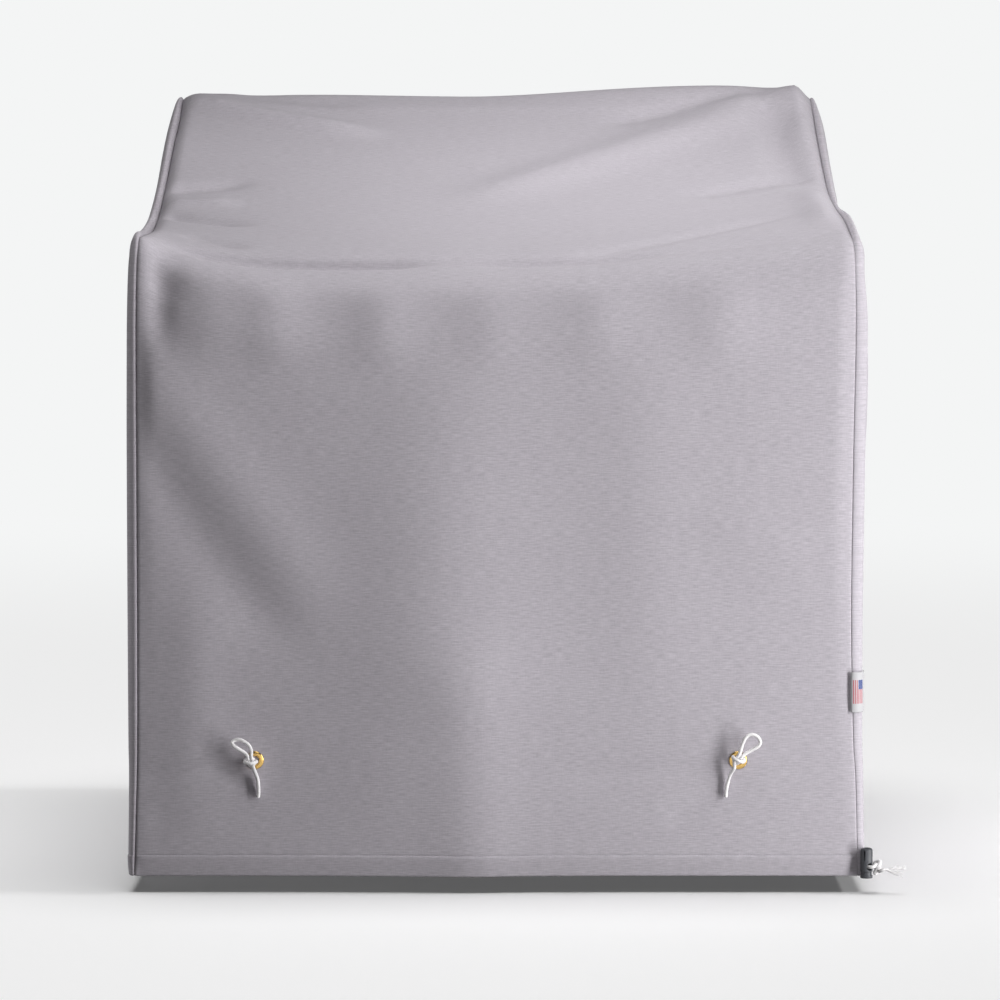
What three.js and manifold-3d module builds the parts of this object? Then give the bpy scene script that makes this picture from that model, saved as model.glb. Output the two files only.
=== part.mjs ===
// A fitted outdoor cover as it hangs in use: one wide panel runs up the front, over the front edge,
// up the slope, over the crest and down the back, and a side panel closes each side. It is open below.
// Lengths are millimetres. X runs to the right as seen from the front, Y to the back and Z up.
// Everything is drawn from the front face, the middle and the hem line. The group then carries it to
// its origin, the point under the middle of the crest where the cover is held up.
import * as THREE from 'three';
import { mergeVertices } from 'three/addons/utils/BufferGeometryUtils.js';
import Module from 'manifold-3d';

const wasm = await Module();
wasm.setup();

const CLOTH_THICKNESS = 1.6;
const HEM_THICKNESS = 3;
const HEM_HEIGHT = 23;
const SEAM_GAP = 0.4;
const GAP = 0.3;

// The point under the middle of the crest that becomes the origin.
const ORIGIN = { x: 0, y: 795, z: 835.2 };

const EYELET = { x: 257, along: 124, barrelRadius: 5 };
const EYELET_BORE = { length: 12, sides: 18 };
const EYELET_CELL = 26;
const CORD_RADIUS = 1.9;

// A table: its columns' names, then its rows.
function table(columns, rows) {
  const names = columns.split(' ');
  return rows.map((row) => Object.fromEntries(row.map((value, n) => [names[n], value])));
}

// The stations of the wide panel, from the front hem over the crest to the back hem. along is the
// distance on the cloth, y the depth, and the z columns the heights at the left seam, in the middle and
// at the right seam. The x columns place the seams, the rim columns say how far each side panel stands
// out past its seam, and rows is the number of mesh rows up to the next station.
const STATIONS = table('along y zLeft zMiddle zRight xLeft xRight rimLeft rimRight rows', [
  [0, -2.9, 0, 0, 0, -386, 385, 7, 7, 1],
  [23, -3.6, 23, 23, 23, -385, 384, 7, 7, 2],
  [111, -2, 111, 111, 111, -382.5, 381.5, 8.5, 8.5, 1],
  [137, -2, 137, 137, 137, -382, 379.5, 9.5, 9.5, 4],
  [270, 0, 270, 270, 270, -381.5, 376.5, 10.5, 12.6, 5],
  [460, 0, 460, 458, 460, -381.5, 378, 10.5, 13.2, 2],
  [540, 0, 543, 534, 542, -381.5, 379.5, 10, 13.2, 2],
  [590, 2, 600, 583, 597, -381.5, 380, 9.5, 13, 2],
  [640, 13, 652, 616, 643, -381, 380, 9, 10, 2],
  [674, 32, 677, 632, 668, -380, 380, 8.5, 11, 2],
  [704, 58, 679, 641, 676, -380, 380, 11, 12, 1],
  [716, 68, 679, 643, 677, -380, 380, 12, 12, 1],
  [730, 78, 678.5, 648.5, 679, -380, 380, 13, 12, 1],
  [745, 92, 677.5, 652.5, 681, -380, 380, 14, 12, 3],
  [845, 195, 677, 668, 695, -380, 380, 17, 12, 4],
  [985, 330, 694, 695, 706, -380, 380, 15, 5.5, 4],
  [1125, 465, 731, 726, 726, -380, 380, 13, 10.5, 3],
  [1275, 605, 777, 767, 768, -380, 380, 14, 12, 3],
  [1390, 712, 806, 802, 806, -380, 380, 15, 12, 2],
  [1445, 762, 828, 822, 826.5, -380, 380, 10, 7, 1],
  [1480, 795, 832.3, 832.1, 832.8, -380, 380, 7, 5, 2],
  [1520, 828, 821, 820, 821, -380, 380, 9, 8, 2],
  [1570, 839, 775, 775, 775, -380, 380, 11, 11, 3],
  [1950, 842, 390, 390, 390, -381, 381, 10, 10, 3],
  [2317, 845, 23, 23, 23, -384, 384, 8, 8, 1],
  [2340, 846, 0, 0, 0, -385, 385, 7, 7, 0],
]);

// How fast the middle's heights give way to a seam's: the sag is flat bottomed on the left and round on
// the right.
const SAG_POWER = { left: 5.5, right: 1.6 };

// The folds of the wide panel, in its own flat coordinates: x from the middle and along from the front
// hem. Each runs from its first end to its second, bowed sideways at its middle by bow. width is its
// half width, height is how far it stands out, below zero for a trough, and hold is the share of it that
// keeps its full height before it dies away at both ends.
const FRONT_FOLDS = table('x1 along1 x2 along2 bow width height hold', [
  [-410, 590, -165, 265, 0, 38, 4.5, 0.4],
  [-395, 500, -190, 215, -14, 30, -3.2, 0.4],
  [-325, 330, -330, 20, 6, 34, 3.5, 0.4],
  [-58, 600, -55, 130, 0, 80, 6, 0.5],
  [-90, 500, -70, -10, 0, 110, 6, 0.4],
  [-32, 280, -22, -80, 0, 42, 4, 0.4],
  [150, 640, 165, 120, 0, 50, 2.2, 0.4],
  [200, 385, 350, 325, 4, 30, 1.5, 0.2],
  [-400, 92, -262, 126, 4, 8, -1.6, 0.4],
  [-385, 52, -290, 100, 0, 14, -1.4, 0.3],
  [50, 108, 244, 120, -4, 8, -1.3, 0.4],
  [176, 54, 240, 100, 0, 10, -1.5, 0.3],
]);

// The short folds that run down from the rolled front edge, one row each.
const EDGE_FOLDS = table('x bottom width height', [
  [-357, 550, 17, -5.5],
  [-306, 520, 26, 2],
  [-235, 530, 30, 3],
  [-121, 530, 30, 3.4],
  [-8, 520, 30, 2],
  [108, 530, 32, 2.6],
  [238, 530, 36, 3.5],
]);
const EDGE_FOLD_TOP = 665;
const EDGE_FOLD_HOLD = 0.2;

// The folds of the slope and the crest, in the same columns as the folds of the front.
const SLOPE_FOLDS = table('x1 along1 x2 along2 bow width height hold', [
  [-375, 702, -60, 717, 0, 10, -4.5, 0.6],
  [20, 716, 150, 716, 0, 10, -2, 0.4],
  [60, 712, 350, 905, -14, 16, -4, 0.4],
  [-350, 800, -262, 752, 0, 14, -5, 0.3],
  [-400, 985, -262, 895, -10, 15, -7, 0.4],
  [-420, 1010, -280, 1015, 0, 18, 6, 0.4],
  [-420, 1060, -270, 1115, 0, 16, -7, 0.3],
  [-395, 1450, -120, 1310, -8, 22, 10, 0.4],
  [-330, 1478, -150, 1420, 0, 20, -4, 0.3],
  [385, 1490, -60, 1000, -16, 28, 10, 0.5],
  [390, 1500, 100, 1345, -6, 18, -5, 0.4],
  [385, 1185, 200, 1040, 0, 20, -5, 0.3],
  [320, 1500, 345, 1110, 0, 20, -10, 0.5],
  [356, 760, 356, 1100, 0, 17, 7, 0.5],
  [-40, 1485, 640, 1485, 0, 60, 13.5, 0.1],
  [-640, 1485, -20, 1485, 0, 60, 3, 0.1],
]);

// The back is not seen: it hangs in a few plain, shallow folds.
const BACK_FOLDS = table('x1 along1 x2 along2 bow width height hold', [
  [-250, 1560, -230, 2400, 10, 50, 5, 0.5],
  [-90, 1620, -110, 2400, -8, 60, -4, 0.5],
  [80, 1560, 60, 2400, 8, 55, 5, 0.5],
  [240, 1600, 270, 2400, -8, 50, -4, 0.5],
]);

// The folds of the side panels, in their own plane: y from the front and z up from the hem.
const SIDE_FOLD_COLUMNS = 'y1 z1 y2 z2 bow width height hold';
const SIDE_FOLDS = {
  left: table(SIDE_FOLD_COLUMNS, [
    [60, 700, 190, -60, 10, 60, 5, 0.5],
    [300, 720, 330, -60, 0, 70, -6, 0.5],
    [480, 760, 520, -60, -8, 80, 6, 0.5],
    [760, 820, 680, -60, 8, 60, -5, 0.5],
  ]),
  right: table(SIDE_FOLD_COLUMNS, [
    [30, 650, 120, 420, 0, 60, 4, 0.3],
    [230, 720, 260, -60, 10, 70, -6, 0.5],
    [430, 740, 450, -60, -8, 70, 6, 0.5],
    [720, 820, 620, -60, 8, 80, -5, 0.5],
  ]),
};

// How far from a seam the folds of the wide panel and of a side panel reach their full height.
const SEAM_CALM = 22;
const SIDE_CALM = 80;

// The seam allowance inside props up the wide panel beside its seams: how far it stands out along the
// left and right seams, how far in from a seam it has risen to that, and how round the rise is.
const SEAM_PUFF = table('along left right width power', [
  [0, 0.8, 0.8, 14, 1.6],
  [250, 1, 2, 17, 1.4],
  [400, 3, 4, 18, 1.1],
  [600, 2.6, 4, 17, 1.3],
  [680, 3, 4, 14, 2],
  [780, 10, 7, 16, 2.2],
  [1420, 10, 7, 15, 2.2],
  [1480, 3.2, 3, 14, 2],
  [1540, 2, 2, 14, 2],
  [2340, 0.8, 0.8, 14, 1.6],
]);
const PUFF_BLEND = 300;

// The columns of the wide panel's mesh: those beside a seam, in millimetres from it, then counts for the
// stretch up to an eyelet, which has one square cell of its own, and for the stretch between the two.
const SEAM_COLUMNS = [0, 4, 12];
const HALF_WIDTH = 380;
const OUTER_COLUMNS = 4;
const MIDDLE_COLUMNS = 18;

// A side panel turns outwards over the seam allowance at its seam, and hangs down from there in a few
// columns. The turn's points are shares of its radius. It is a quarter circle, and becomes a raised ridge
// along the slope: WELT says how far that rises and drops, and where it starts and ends. The margins
// keep the columns apart at the two ends of the hem, as shares of its depth.
const RIM_SHARES = [0, 0.5, 0.87, 1];
const WELT = { rise: 0.45, drop: 1.2, start: 640, full: 760, fade: 1440, end: 1530 };
const SIDE_COLUMNS = 3;
const HEM_TOP_MARGIN = 0.1;
const HEM_MARGIN = 0.12;
const SIDE_HEM_X = 392;

// A tie's knot is one turn of cord of this radius round the two strands of its loop. strandOffset is
// half the distance between those, and reach is how far they run straight on each side of the turn.
const TIE_KNOT = { radius: 6.1, pitch: 4.4, strandOffset: 1.95, reach: 5.4, lastAngle: 480 };
const STOP_KNOT = { radius: 4, depth: 13, pitch: 4.4, from: -405, to: -90 };
const TIE_STEPS = 72;

// How far below the middle of its eyelet a tie's cord lies, on the lower edge of the bore.
const CORD_DROP = 2.1;

// The two ties, from the middle of the eyelet: right, up and out from the cloth. Each cord starts at a
// stop knot behind the cloth, comes out through the eyelet, takes its turn, runs round the loop and back
// through the turn, and hangs down as a free end.
const TIE_COLUMNS = 'right up out';
const THROUGH_EYELET = table(TIE_COLUMNS, [
  [-1, -CORD_DROP, -7],
  [0, -CORD_DROP, -1.2],
  [0, -CORD_DROP, 1.2],
  [0, -1, 3.6],
]);

// Where the cord goes from its turn back up through it, and where it comes down again after the loop, in
// the knot's own directions from its middle.
const KNOT_COLUMNS = 'sideways along out';
const { strandOffset: STRAND, reach: REACH } = TIE_KNOT;
const STRAND_UP = table(KNOT_COLUMNS, [
  [2.4, -REACH - 0.3, -4.2],
  [-0.4, -REACH - 1.6, -3.6],
  [-STRAND, -REACH + 0.8, -1.6],
  [-STRAND, 0, 0],
  [-STRAND, REACH, 0],
]);
const STRAND_DOWN = table(KNOT_COLUMNS, [
  [STRAND, REACH, 0],
  [STRAND, 0, 0.3],
  [STRAND, -REACH + 0.6, 1.2],
]);

const TIES = {
  left: {
    hand: -1,
    turnFrom: 180,
    knot: { right: -4.2, up: 0.4, out: 12 },
    towardsLoop: { right: -0.16, up: 0.96, out: 0.22 },
    loop: table(TIE_COLUMNS, [
      [-9.4, 8.7, 13],
      [-13.8, 11.9, 14.2],
      [-18.2, 14.8, 15.4],
      [-21.8, 17.4, 15.6],
      [-23.4, 20.2, 14.2],
      [-20.9, 22.8, 13.4],
      [-16.4, 23.6, 13.6],
      [-11.6, 22, 13.8],
      [-7.2, 19, 13.6],
      [-4.6, 15.6, 13.2],
      [-3.2, 11, 12.6],
    ]),
    freeEnd: table(TIE_COLUMNS, [
      [-0.8, -7.4, 11],
      [1.2, -13, 8],
      [3.2, -20, 5.4],
      [4, -28, 4.8],
      [4.1, -34, 4.4],
      [3.6, -39.3, 4.2],
    ]),
  },
  right: {
    hand: 1,
    turnFrom: 225,
    knot: { right: -0.2, up: 2.6, out: 11.6 },
    towardsLoop: { right: 0.52, up: 0.83, out: 0.22 },
    loop: table(TIE_COLUMNS, [
      [12, 11.2, 12.8],
      [17.2, 14.1, 13.4],
      [21, 16.7, 13.8],
      [22.7, 20.4, 14],
      [21.5, 24.4, 14.2],
      [18.4, 27.6, 14.4],
      [14.6, 29, 14.6],
      [10.7, 28.5, 14.6],
      [7.4, 25.8, 14.4],
      [4.8, 21, 13.8],
      [3, 15.6, 13],
    ]),
    freeEnd: table(TIE_COLUMNS, [
      [-4.6, -6.8, 11.6],
      [-7.6, -12.6, 8],
      [-10.3, -20.1, 5.4],
      [-12, -27.5, 4.8],
      [-12.8, -33.5, 4.4],
      [-13.2, -39, 4.2],
    ]),
  },
};

// The tag is a strip sewn into the right front seam, seen here from above from the seam outwards and
// back over the side panel.
const TAG = { bottom: 175, top: 218, thickness: 1, steps: 14 };
const TAG_LINE = table('x y', [
  [377.5, -3],
  [378.3, -5.4],
  [381.3, -6],
  [385.2, -3.8],
  [388.5, 0.2],
  [390.4, 5.5],
  [391.1, 11],
  [391.2, 17],
]);

// The brass eyelets are one turned shape each: washer behind the cloth, barrel through it and flange in
// front. Heights run out from the middle of the cloth.
const EYELET_SEGMENTS = 18;
const EYELET_PROFILE = table('radius height', [
  [4.4, -2.1],
  [5.2, -2.4],
  [9, -1.9],
  [9, -1.1],
  [5, -1.1],
  [5, 1.1],
  [9.5, 1.1],
  [9.3, 1.7],
  [7.3, 2.5],
  [5.2, 2.4],
  [4.4, 1.9],
]);

// The cord lock stands in front of the right front corner, on the end of the hem's drawcord. Its barrel
// is a domed tube with a slot, a flat and a cross hole, and its plunger fills the barrel from below.
// Heights run up from the hem line. Angles turn from the front towards the right. inner and outer are a
// cut's distances from the lock's axis.
const LOCK = { x: 393.6, y: -9.4, segments: 24 };
const BARREL_PROFILE = table('radius height', [
  [0, 27],
  [4.3, 27],
  [4.3, 5.5],
  [6.1, 5.5],
  [6.5, 6],
  [6.5, 28.4],
  [5.8, 29.8],
  [4.1, 30.7],
  [0, 31],
]);
const PLUNGER_PROFILE = table('radius height', [
  [0, -1.5],
  [5.6, -1.5],
  [6.6, -0.7],
  [6.6, 1],
  [5.6, 1.8],
  [5.6, 5.2],
  [4, 5.2],
  [4, 23],
  [0, 23],
]);
const LOCK_HOLE = { angle: 28, height: 10.9, length: 26, segments: 20 };
const BARREL_HOLE = { halfWidth: 3.4, halfHeight: 4.2 };
const PLUNGER_HOLE = { halfWidth: 2.5, halfHeight: 3.2 };
const LOCK_SLOT = { angle: -22, width: 1.3, bottom: 17.4, top: 28.3, inner: 3.3, outer: 7.5 };
const LOCK_FLAT = { angle: 15, width: 13, bottom: 16.5, top: 29, inner: 5.9, outer: 7.5 };

// The end of the hem's drawcord: how far its straight points lie from the lock's axis, the bend up to its
// knot, the knot, the tail after it, and the strands past that. The bend and the tail start at the knot.
const HEM_CORD_STRAIGHT = [-7.5, -2, 3, 7.1];
const HEM_BEND = { right: -4.6, back: -5.6, up: 2 };
const HEM_KNOT = { x: 405.3, y: -11, z: 9.6, radius: 2.05, lobe: 2.45, depth: 2.9, steps: 20, openAngle: 26 };
const HEM_TAIL = table('right back up', [
  [4.4, -4.8, -1.9],
  [5.5, -5.3, -1.2],
  [7, -5.3, -1.2],
]);
const HEM_CORD_STEPS = 48;
const FRAY = { rootLength: 3, rootRadius: 1.8, strandRadius: 0.5, steps: 7, startBack: 0.4, startRise: 0.16 };
const FRAY_STRANDS = table('length rise back wave', [
  [20, 2.8, -2.4, 0.7],
  [21, 1.2, -0.4, -0.6],
  [19, -0.4, 2, 0.5],
  [20, 3.6, 2.6, -0.5],
  [17, -4.4, -2, 0.6],
  [16, -6.6, 0.2, -0.7],
  [18, -9, 2, 0.5],
  [15, -2.4, -3.6, -0.5],
]);

// Smooth curve through one column of the stations: a cubic between stations, with the slope at each
// station taken from its two neighbours.
function stationValue(column, along) {
  const last = STATIONS.length - 1;
  let i = STATIONS.findIndex((station, n) => n === last || STATIONS[n + 1].along >= along);
  i = Math.min(i, last - 1);
  const slope = (n) => {
    const before = STATIONS[Math.max(n - 1, 0)];
    const after = STATIONS[Math.min(n + 1, last)];
    return (after[column] - before[column]) / (after.along - before.along);
  };
  const length = STATIONS[i + 1].along - STATIONS[i].along;
  const t = THREE.MathUtils.clamp((along - STATIONS[i].along) / length, 0, 1);
  const start = STATIONS[i][column];
  const end = STATIONS[i + 1][column];
  return start * (1 + 2 * t) * (1 - t) ** 2 + end * t * t * (3 - 2 * t)
    + length * t * (1 - t) * (slope(i) * (1 - t) - slope(i + 1) * t);
}

// The height of one fold at a point of the flat cloth.
function foldHeight(start, end, fold, point) {
  const run = new THREE.Vector2().subVectors(end, start);
  const offset = new THREE.Vector2().subVectors(point, start);
  const t = offset.dot(run) / run.lengthSq();
  const fromMiddle = Math.abs(2 * t - 1);
  if (fromMiddle >= 1) return 0;
  const sideways = run.cross(offset) / run.length() - fold.bow * 4 * t * (1 - t);
  const fade = Math.max(0, (fromMiddle - fold.hold) / (1 - fold.hold));
  return fold.height * Math.exp(-((sideways / fold.width) ** 2)) * (1 - fade * fade) ** 2;
}

function foldsOf(table, x, along) {
  const point = new THREE.Vector2(x, along);
  return table.reduce((sum, fold) => sum + foldHeight(
    new THREE.Vector2(fold.x1, fold.along1), new THREE.Vector2(fold.x2, fold.along2), fold, point), 0);
}

const EDGE_RUNS = EDGE_FOLDS.map((fold) => ({
  ...fold, x1: fold.x, along1: EDGE_FOLD_TOP, x2: fold.x, along2: fold.bottom, bow: 0, hold: EDGE_FOLD_HOLD,
}));
const PANEL_FOLDS = [...FRONT_FOLDS, ...EDGE_RUNS, ...SLOPE_FOLDS, ...BACK_FOLDS];

const { smoothstep } = THREE.MathUtils;

// How far the wide panel stands out over its seam allowance.
function seamPuff(toSeam, x, along) {
  const next = Math.max(1, SEAM_PUFF.findIndex((row) => row.along >= along));
  const [from, to] = [SEAM_PUFF[next - 1], SEAM_PUFF[next]];
  const at = (column) => THREE.MathUtils.mapLinear(along, from.along, to.along, from[column], to[column]);
  const height = THREE.MathUtils.lerp(at('left'), at('right'), smoothstep(x, -PUFF_BLEND, PUFF_BLEND));
  const risen = THREE.MathUtils.clamp(toSeam / at('width'), 0, 1);
  return height * (1 - (1 - risen) ** at('power'));
}

// The folds fade out at the seams, and the cloth is flat where an eyelet clamps it.
function widePanelRelief(x, along) {
  const toSeam = Math.min(x - stationValue('xLeft', along), stationValue('xRight', along) - x);
  const middle = Math.sign(x) * EYELET.x;
  const fromEyelet = Math.hypot(x - middle, along - EYELET.along);
  const clamped = 1 - smoothstep(fromEyelet, EYELET_CELL * 0.75, EYELET_CELL * 1.7);
  const folds = foldsOf(PANEL_FOLDS, x, along);
  const relief = THREE.MathUtils.lerp(folds, foldsOf(PANEL_FOLDS, middle, EYELET.along), clamped);
  return relief * smoothstep(toSeam, 0, SEAM_CALM) + seamPuff(toSeam, x, along);
}

// The wide panel without its folds. across runs from -1 at the left seam to 1 at the right seam.
function widePanelBase(across, along) {
  const share = (across + 1) / 2;
  const x = THREE.MathUtils.lerp(stationValue('xLeft', along), stationValue('xRight', along), share);
  const seamShare = Math.abs(across) ** (across < 0 ? SAG_POWER.left : SAG_POWER.right);
  const seam = stationValue(across < 0 ? 'zLeft' : 'zRight', along);
  const z = THREE.MathUtils.lerp(stationValue('zMiddle', along), seam, seamShare);
  return new THREE.Vector3(x, stationValue('y', along), z);
}

const END_ALONG = STATIONS.at(-1).along;

function widePanelPoint(across, along) {
  const base = widePanelBase(across, along);
  const before = widePanelBase(across, Math.max(along - 2, 0));
  const after = widePanelBase(across, Math.min(along + 2, END_ALONG));
  const outwards = new THREE.Vector3(0, before.z - after.z, after.y - before.y).normalize();
  return base.addScaledVector(outwards, widePanelRelief(base.x, along));
}

// The distances along the cloth where the mesh has its rows.
function meshRows() {
  const rows = [];
  STATIONS.forEach((station, i) => {
    for (let n = 0; n < station.rows; n += 1) {
      rows.push(THREE.MathUtils.lerp(station.along, STATIONS[i + 1].along, n / station.rows));
    }
  });
  return [...rows, END_ALONG];
}

function meshColumns() {
  const outer = eyeletAcross(EYELET.x + EYELET_CELL / 2);
  const inner = eyeletAcross(EYELET.x - EYELET_CELL / 2);
  const stretch = (from, to, count) => (
    Array.from({ length: count }, (_, n) => THREE.MathUtils.lerp(from, to, n / count)));
  const besideSeam = SEAM_COLUMNS.map((distance) => 1 - distance / HALF_WIDTH);
  const last = besideSeam.at(-1);
  return [
    ...besideSeam.slice(0, -1).map((across) => -across),
    ...stretch(-last, -outer, OUTER_COLUMNS),
    -outer,
    ...stretch(-inner, inner, MIDDLE_COLUMNS),
    inner,
    ...stretch(outer, last, OUTER_COLUMNS),
    ...besideSeam.reverse(),
  ];
}

// The cloth is one layer, and two at the hem, where the second layer lies inside.
function innerOffset(z) {
  return CLOTH_THICKNESS / 2 + (z <= HEM_HEIGHT + 0.01 ? HEM_THICKNESS - CLOTH_THICKNESS : 0);
}

// A closed sheet from a grid of points on its middle surface. outwardSign turns the grid's own normal,
// which is columns crossed with rows, to the outside. Along a seam the sheet ends square to X.
function sheetGeometry(grid, outwardSign, seamColumns) {
  const rowCount = grid.length;
  const columnCount = grid[0].length;
  const normalAt = (i, j) => {
    const across = new THREE.Vector3().subVectors(
      grid[i][Math.min(j + 1, columnCount - 1)], grid[i][Math.max(j - 1, 0)]);
    const along = new THREE.Vector3().subVectors(
      grid[Math.min(i + 1, rowCount - 1)][j], grid[Math.max(i - 1, 0)][j]);
    const normal = across.cross(along).multiplyScalar(outwardSign);
    if (seamColumns.includes(j)) normal.x = 0;
    return normal.normalize();
  };
  const positions = [];
  for (const layer of ['outer', 'inner']) {
    for (let i = 0; i < rowCount; i += 1) {
      for (let j = 0; j < columnCount; j += 1) {
        const point = grid[i][j];
        const shift = layer === 'outer' ? CLOTH_THICKNESS / 2 : -innerOffset(point.z);
        positions.push(...point.clone().addScaledVector(normalAt(i, j), shift).toArray());
      }
    }
  }
  const outer = (i, j) => i * columnCount + j;
  const inner = (i, j) => rowCount * columnCount + outer(i, j);
  const faces = [];
  const quad = (a, b, c, d) => {
    faces.push(...(outwardSign > 0 ? [a, b, c, a, c, d] : [a, c, b, a, d, c]));
  };
  for (let i = 0; i < rowCount - 1; i += 1) {
    for (let j = 0; j < columnCount - 1; j += 1) {
      quad(outer(i, j), outer(i, j + 1), outer(i + 1, j + 1), outer(i + 1, j));
      quad(inner(i, j), inner(i + 1, j), inner(i + 1, j + 1), inner(i, j + 1));
    }
  }
  const lastRow = rowCount - 1;
  const lastColumn = columnCount - 1;
  for (let j = 0; j < lastColumn; j += 1) {
    quad(outer(0, j), inner(0, j), inner(0, j + 1), outer(0, j + 1));
    quad(outer(lastRow, j + 1), inner(lastRow, j + 1), inner(lastRow, j), outer(lastRow, j));
  }
  for (let i = 0; i < lastRow; i += 1) {
    quad(outer(i + 1, 0), inner(i + 1, 0), inner(i, 0), outer(i, 0));
    quad(outer(i, lastColumn), inner(i, lastColumn), inner(i + 1, lastColumn), outer(i + 1, lastColumn));
  }
  const geometry = new THREE.BufferGeometry();
  geometry.setAttribute('position', new THREE.Float32BufferAttribute(positions, 3));
  geometry.setIndex(faces);
  return geometry;
}

function toSolid(geometry) {
  const bare = geometry.clone();
  bare.deleteAttribute('normal');
  bare.deleteAttribute('uv');
  const merged = mergeVertices(bare, 1e-3);
  return new wasm.Manifold(new wasm.Mesh({
    numProp: 3,
    vertProperties: new Float32Array(merged.attributes.position.array),
    triVerts: new Uint32Array(merged.index.array),
  }));
}

function toGeometry(solid) {
  const mesh = solid.getMesh();
  const geometry = new THREE.BufferGeometry();
  geometry.setAttribute('position', new THREE.Float32BufferAttribute(mesh.vertProperties, 3));
  geometry.setIndex([...mesh.triVerts]);
  geometry.computeVertexNormals();
  return geometry;
}

function toMesh(name, geometry, material) {
  geometry.computeVertexNormals();
  const mesh = new THREE.Mesh(geometry, material);
  mesh.name = name;
  return mesh;
}

const clothMaterial = () => new THREE.MeshStandardMaterial({ color: 0xb5b0b6, roughness: 0.95 });
const brassMaterial = () => new THREE.MeshStandardMaterial({ color: 0xd8b46a, metalness: 1, roughness: 0.3 });
const cordMaterial = () => new THREE.MeshStandardMaterial({ color: 0xeeecec, roughness: 0.8 });
const plasticMaterial = () => new THREE.MeshStandardMaterial({ color: 0x3c3d42, roughness: 0.45 });
const tagMaterial = () => new THREE.MeshStandardMaterial({ color: 0xd6d5d6, roughness: 0.85 });

// How far across the panel a distance from the middle lies at the height of the eyelets.
function eyeletAcross(x) {
  const left = stationValue('xLeft', EYELET.along);
  const right = stationValue('xRight', EYELET.along);
  return (2 * x - left - right) / (right - left);
}

// The middle of the cloth under one eyelet.
const eyeletPlace = (side) => widePanelPoint(eyeletAcross(side * EYELET.x), EYELET.along);

function widePanel() {
  const columns = meshColumns();
  const grid = meshRows().map((along) => columns.map((across) => widePanelPoint(across, along)));
  let solid = toSolid(sheetGeometry(grid, 1, [0, columns.length - 1]));
  const { length, sides } = EYELET_BORE;
  const boreRadius = (EYELET.barrelRadius + GAP) / Math.cos(Math.PI / sides);
  for (const side of [-1, 1]) {
    const bore = new THREE.CylinderGeometry(boreRadius, boreRadius, length, sides);
    bore.translate(...eyeletPlace(side).toArray());
    solid = solid.subtract(toSolid(bore));
  }
  return toMesh('wide_panel', toGeometry(solid), clothMaterial());
}

function sideRelief(name, y, z) {
  const point = new THREE.Vector2(y, z);
  return SIDE_FOLDS[name].reduce((sum, fold) => sum + foldHeight(
    new THREE.Vector2(fold.y1, fold.z1), new THREE.Vector2(fold.y2, fold.z2), fold, point), 0);
}

// How far a side panel has dropped at a share of its way out from the seam, as a share of its radius.
function rimDrop(share, along) {
  const rounded = 1 - Math.sqrt(1 - share ** 2);
  const ridged = WELT.drop * (1 - Math.sqrt(1 - share ** 4)) - WELT.rise * Math.sin(Math.PI * share / 0.8);
  const raised = smoothstep(along, WELT.start, WELT.full) * (1 - smoothstep(along, WELT.fade, WELT.end));
  return THREE.MathUtils.lerp(rounded, ridged, raised);
}

// One side panel, from the seam inwards. side is -1 on the left and 1 on the right.
function sidePanel(side) {
  const name = side < 0 ? 'left' : 'right';
  const seamX = side < 0 ? 'xLeft' : 'xRight';
  const rim = side < 0 ? 'rimLeft' : 'rimRight';
  const rows = meshRows();
  const front = widePanelBase(side, 0);
  const back = widePanelBase(side, END_ALONG);
  const grid = rows.map((along, i) => {
    const seam = widePanelBase(side, along);
    const before = widePanelBase(side, Math.max(along - 2, 0));
    const after = widePanelBase(side, Math.min(along + 2, END_ALONG));
    const inwards = new THREE.Vector3(0, after.z - before.z, before.y - after.y).normalize();
    const radius = stationValue(rim, along);
    const edge = stationValue(seamX, along) + side * SEAM_GAP;
    const ring = RIM_SHARES.map((share) => {
      const point = seam.clone().addScaledVector(inwards, radius * rimDrop(share, along));
      return point.setX(edge + side * radius * share);
    });
    const start = ring.at(-1);
    const onHem = (margin, height) => {
      const share = THREE.MathUtils.lerp(margin, 1 - margin, i / (rows.length - 1));
      const y = THREE.MathUtils.lerp(front.y, back.y, share);
      return new THREE.Vector3(side * SIDE_HEM_X, y, Math.min(height, seam.z));
    };
    const hemTop = onHem(HEM_TOP_MARGIN, HEM_HEIGHT);
    const field = Array.from({ length: SIDE_COLUMNS }, (_, n) => (
      start.clone().lerp(hemTop, (n + 1) / SIDE_COLUMNS)));
    field.push(onHem(HEM_MARGIN, 0));
    field.forEach((point) => {
      const calm = smoothstep(start.distanceTo(point), 0, SIDE_CALM);
      point.x += side * calm * sideRelief(name, point.y, point.z);
    });
    return [...ring, ...field];
  });
  return toMesh(name + '_side_panel', sheetGeometry(grid, side, [0]), clothMaterial());
}

// A closed body of revolution from rows of radius and height. A bore is a profile that stays off the axis.
function latheGeometry(profile, segments) {
  const points = profile.map(({ radius, height }) => new THREE.Vector2(radius, height));
  if (profile[0].radius > 0) points.push(points[0].clone());
  return new THREE.LatheGeometry(points, segments);
}

function eyelet(side) {
  const geometry = latheGeometry(EYELET_PROFILE, EYELET_SEGMENTS).rotateX(Math.PI);
  const name = (side < 0 ? 'left' : 'right') + '_eyelet';
  const mesh = toMesh(name, toGeometry(toSolid(geometry)), brassMaterial());
  mesh.position.copy(eyeletPlace(side));
  return mesh;
}

// A tube along a route of points.
function tubeGeometry(route, radius, steps, sides) {
  const section = new THREE.Shape(Array.from({ length: sides }, (_, n) => (
    new THREE.Vector2(radius, 0).rotateAround(new THREE.Vector2(), (n + 0.5) * 2 * Math.PI / sides))));
  const extrudePath = new THREE.CatmullRomCurve3(route, false, 'centripetal');
  return new THREE.ExtrudeGeometry(section, { steps, extrudePath, bevelEnabled: false });
}

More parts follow.
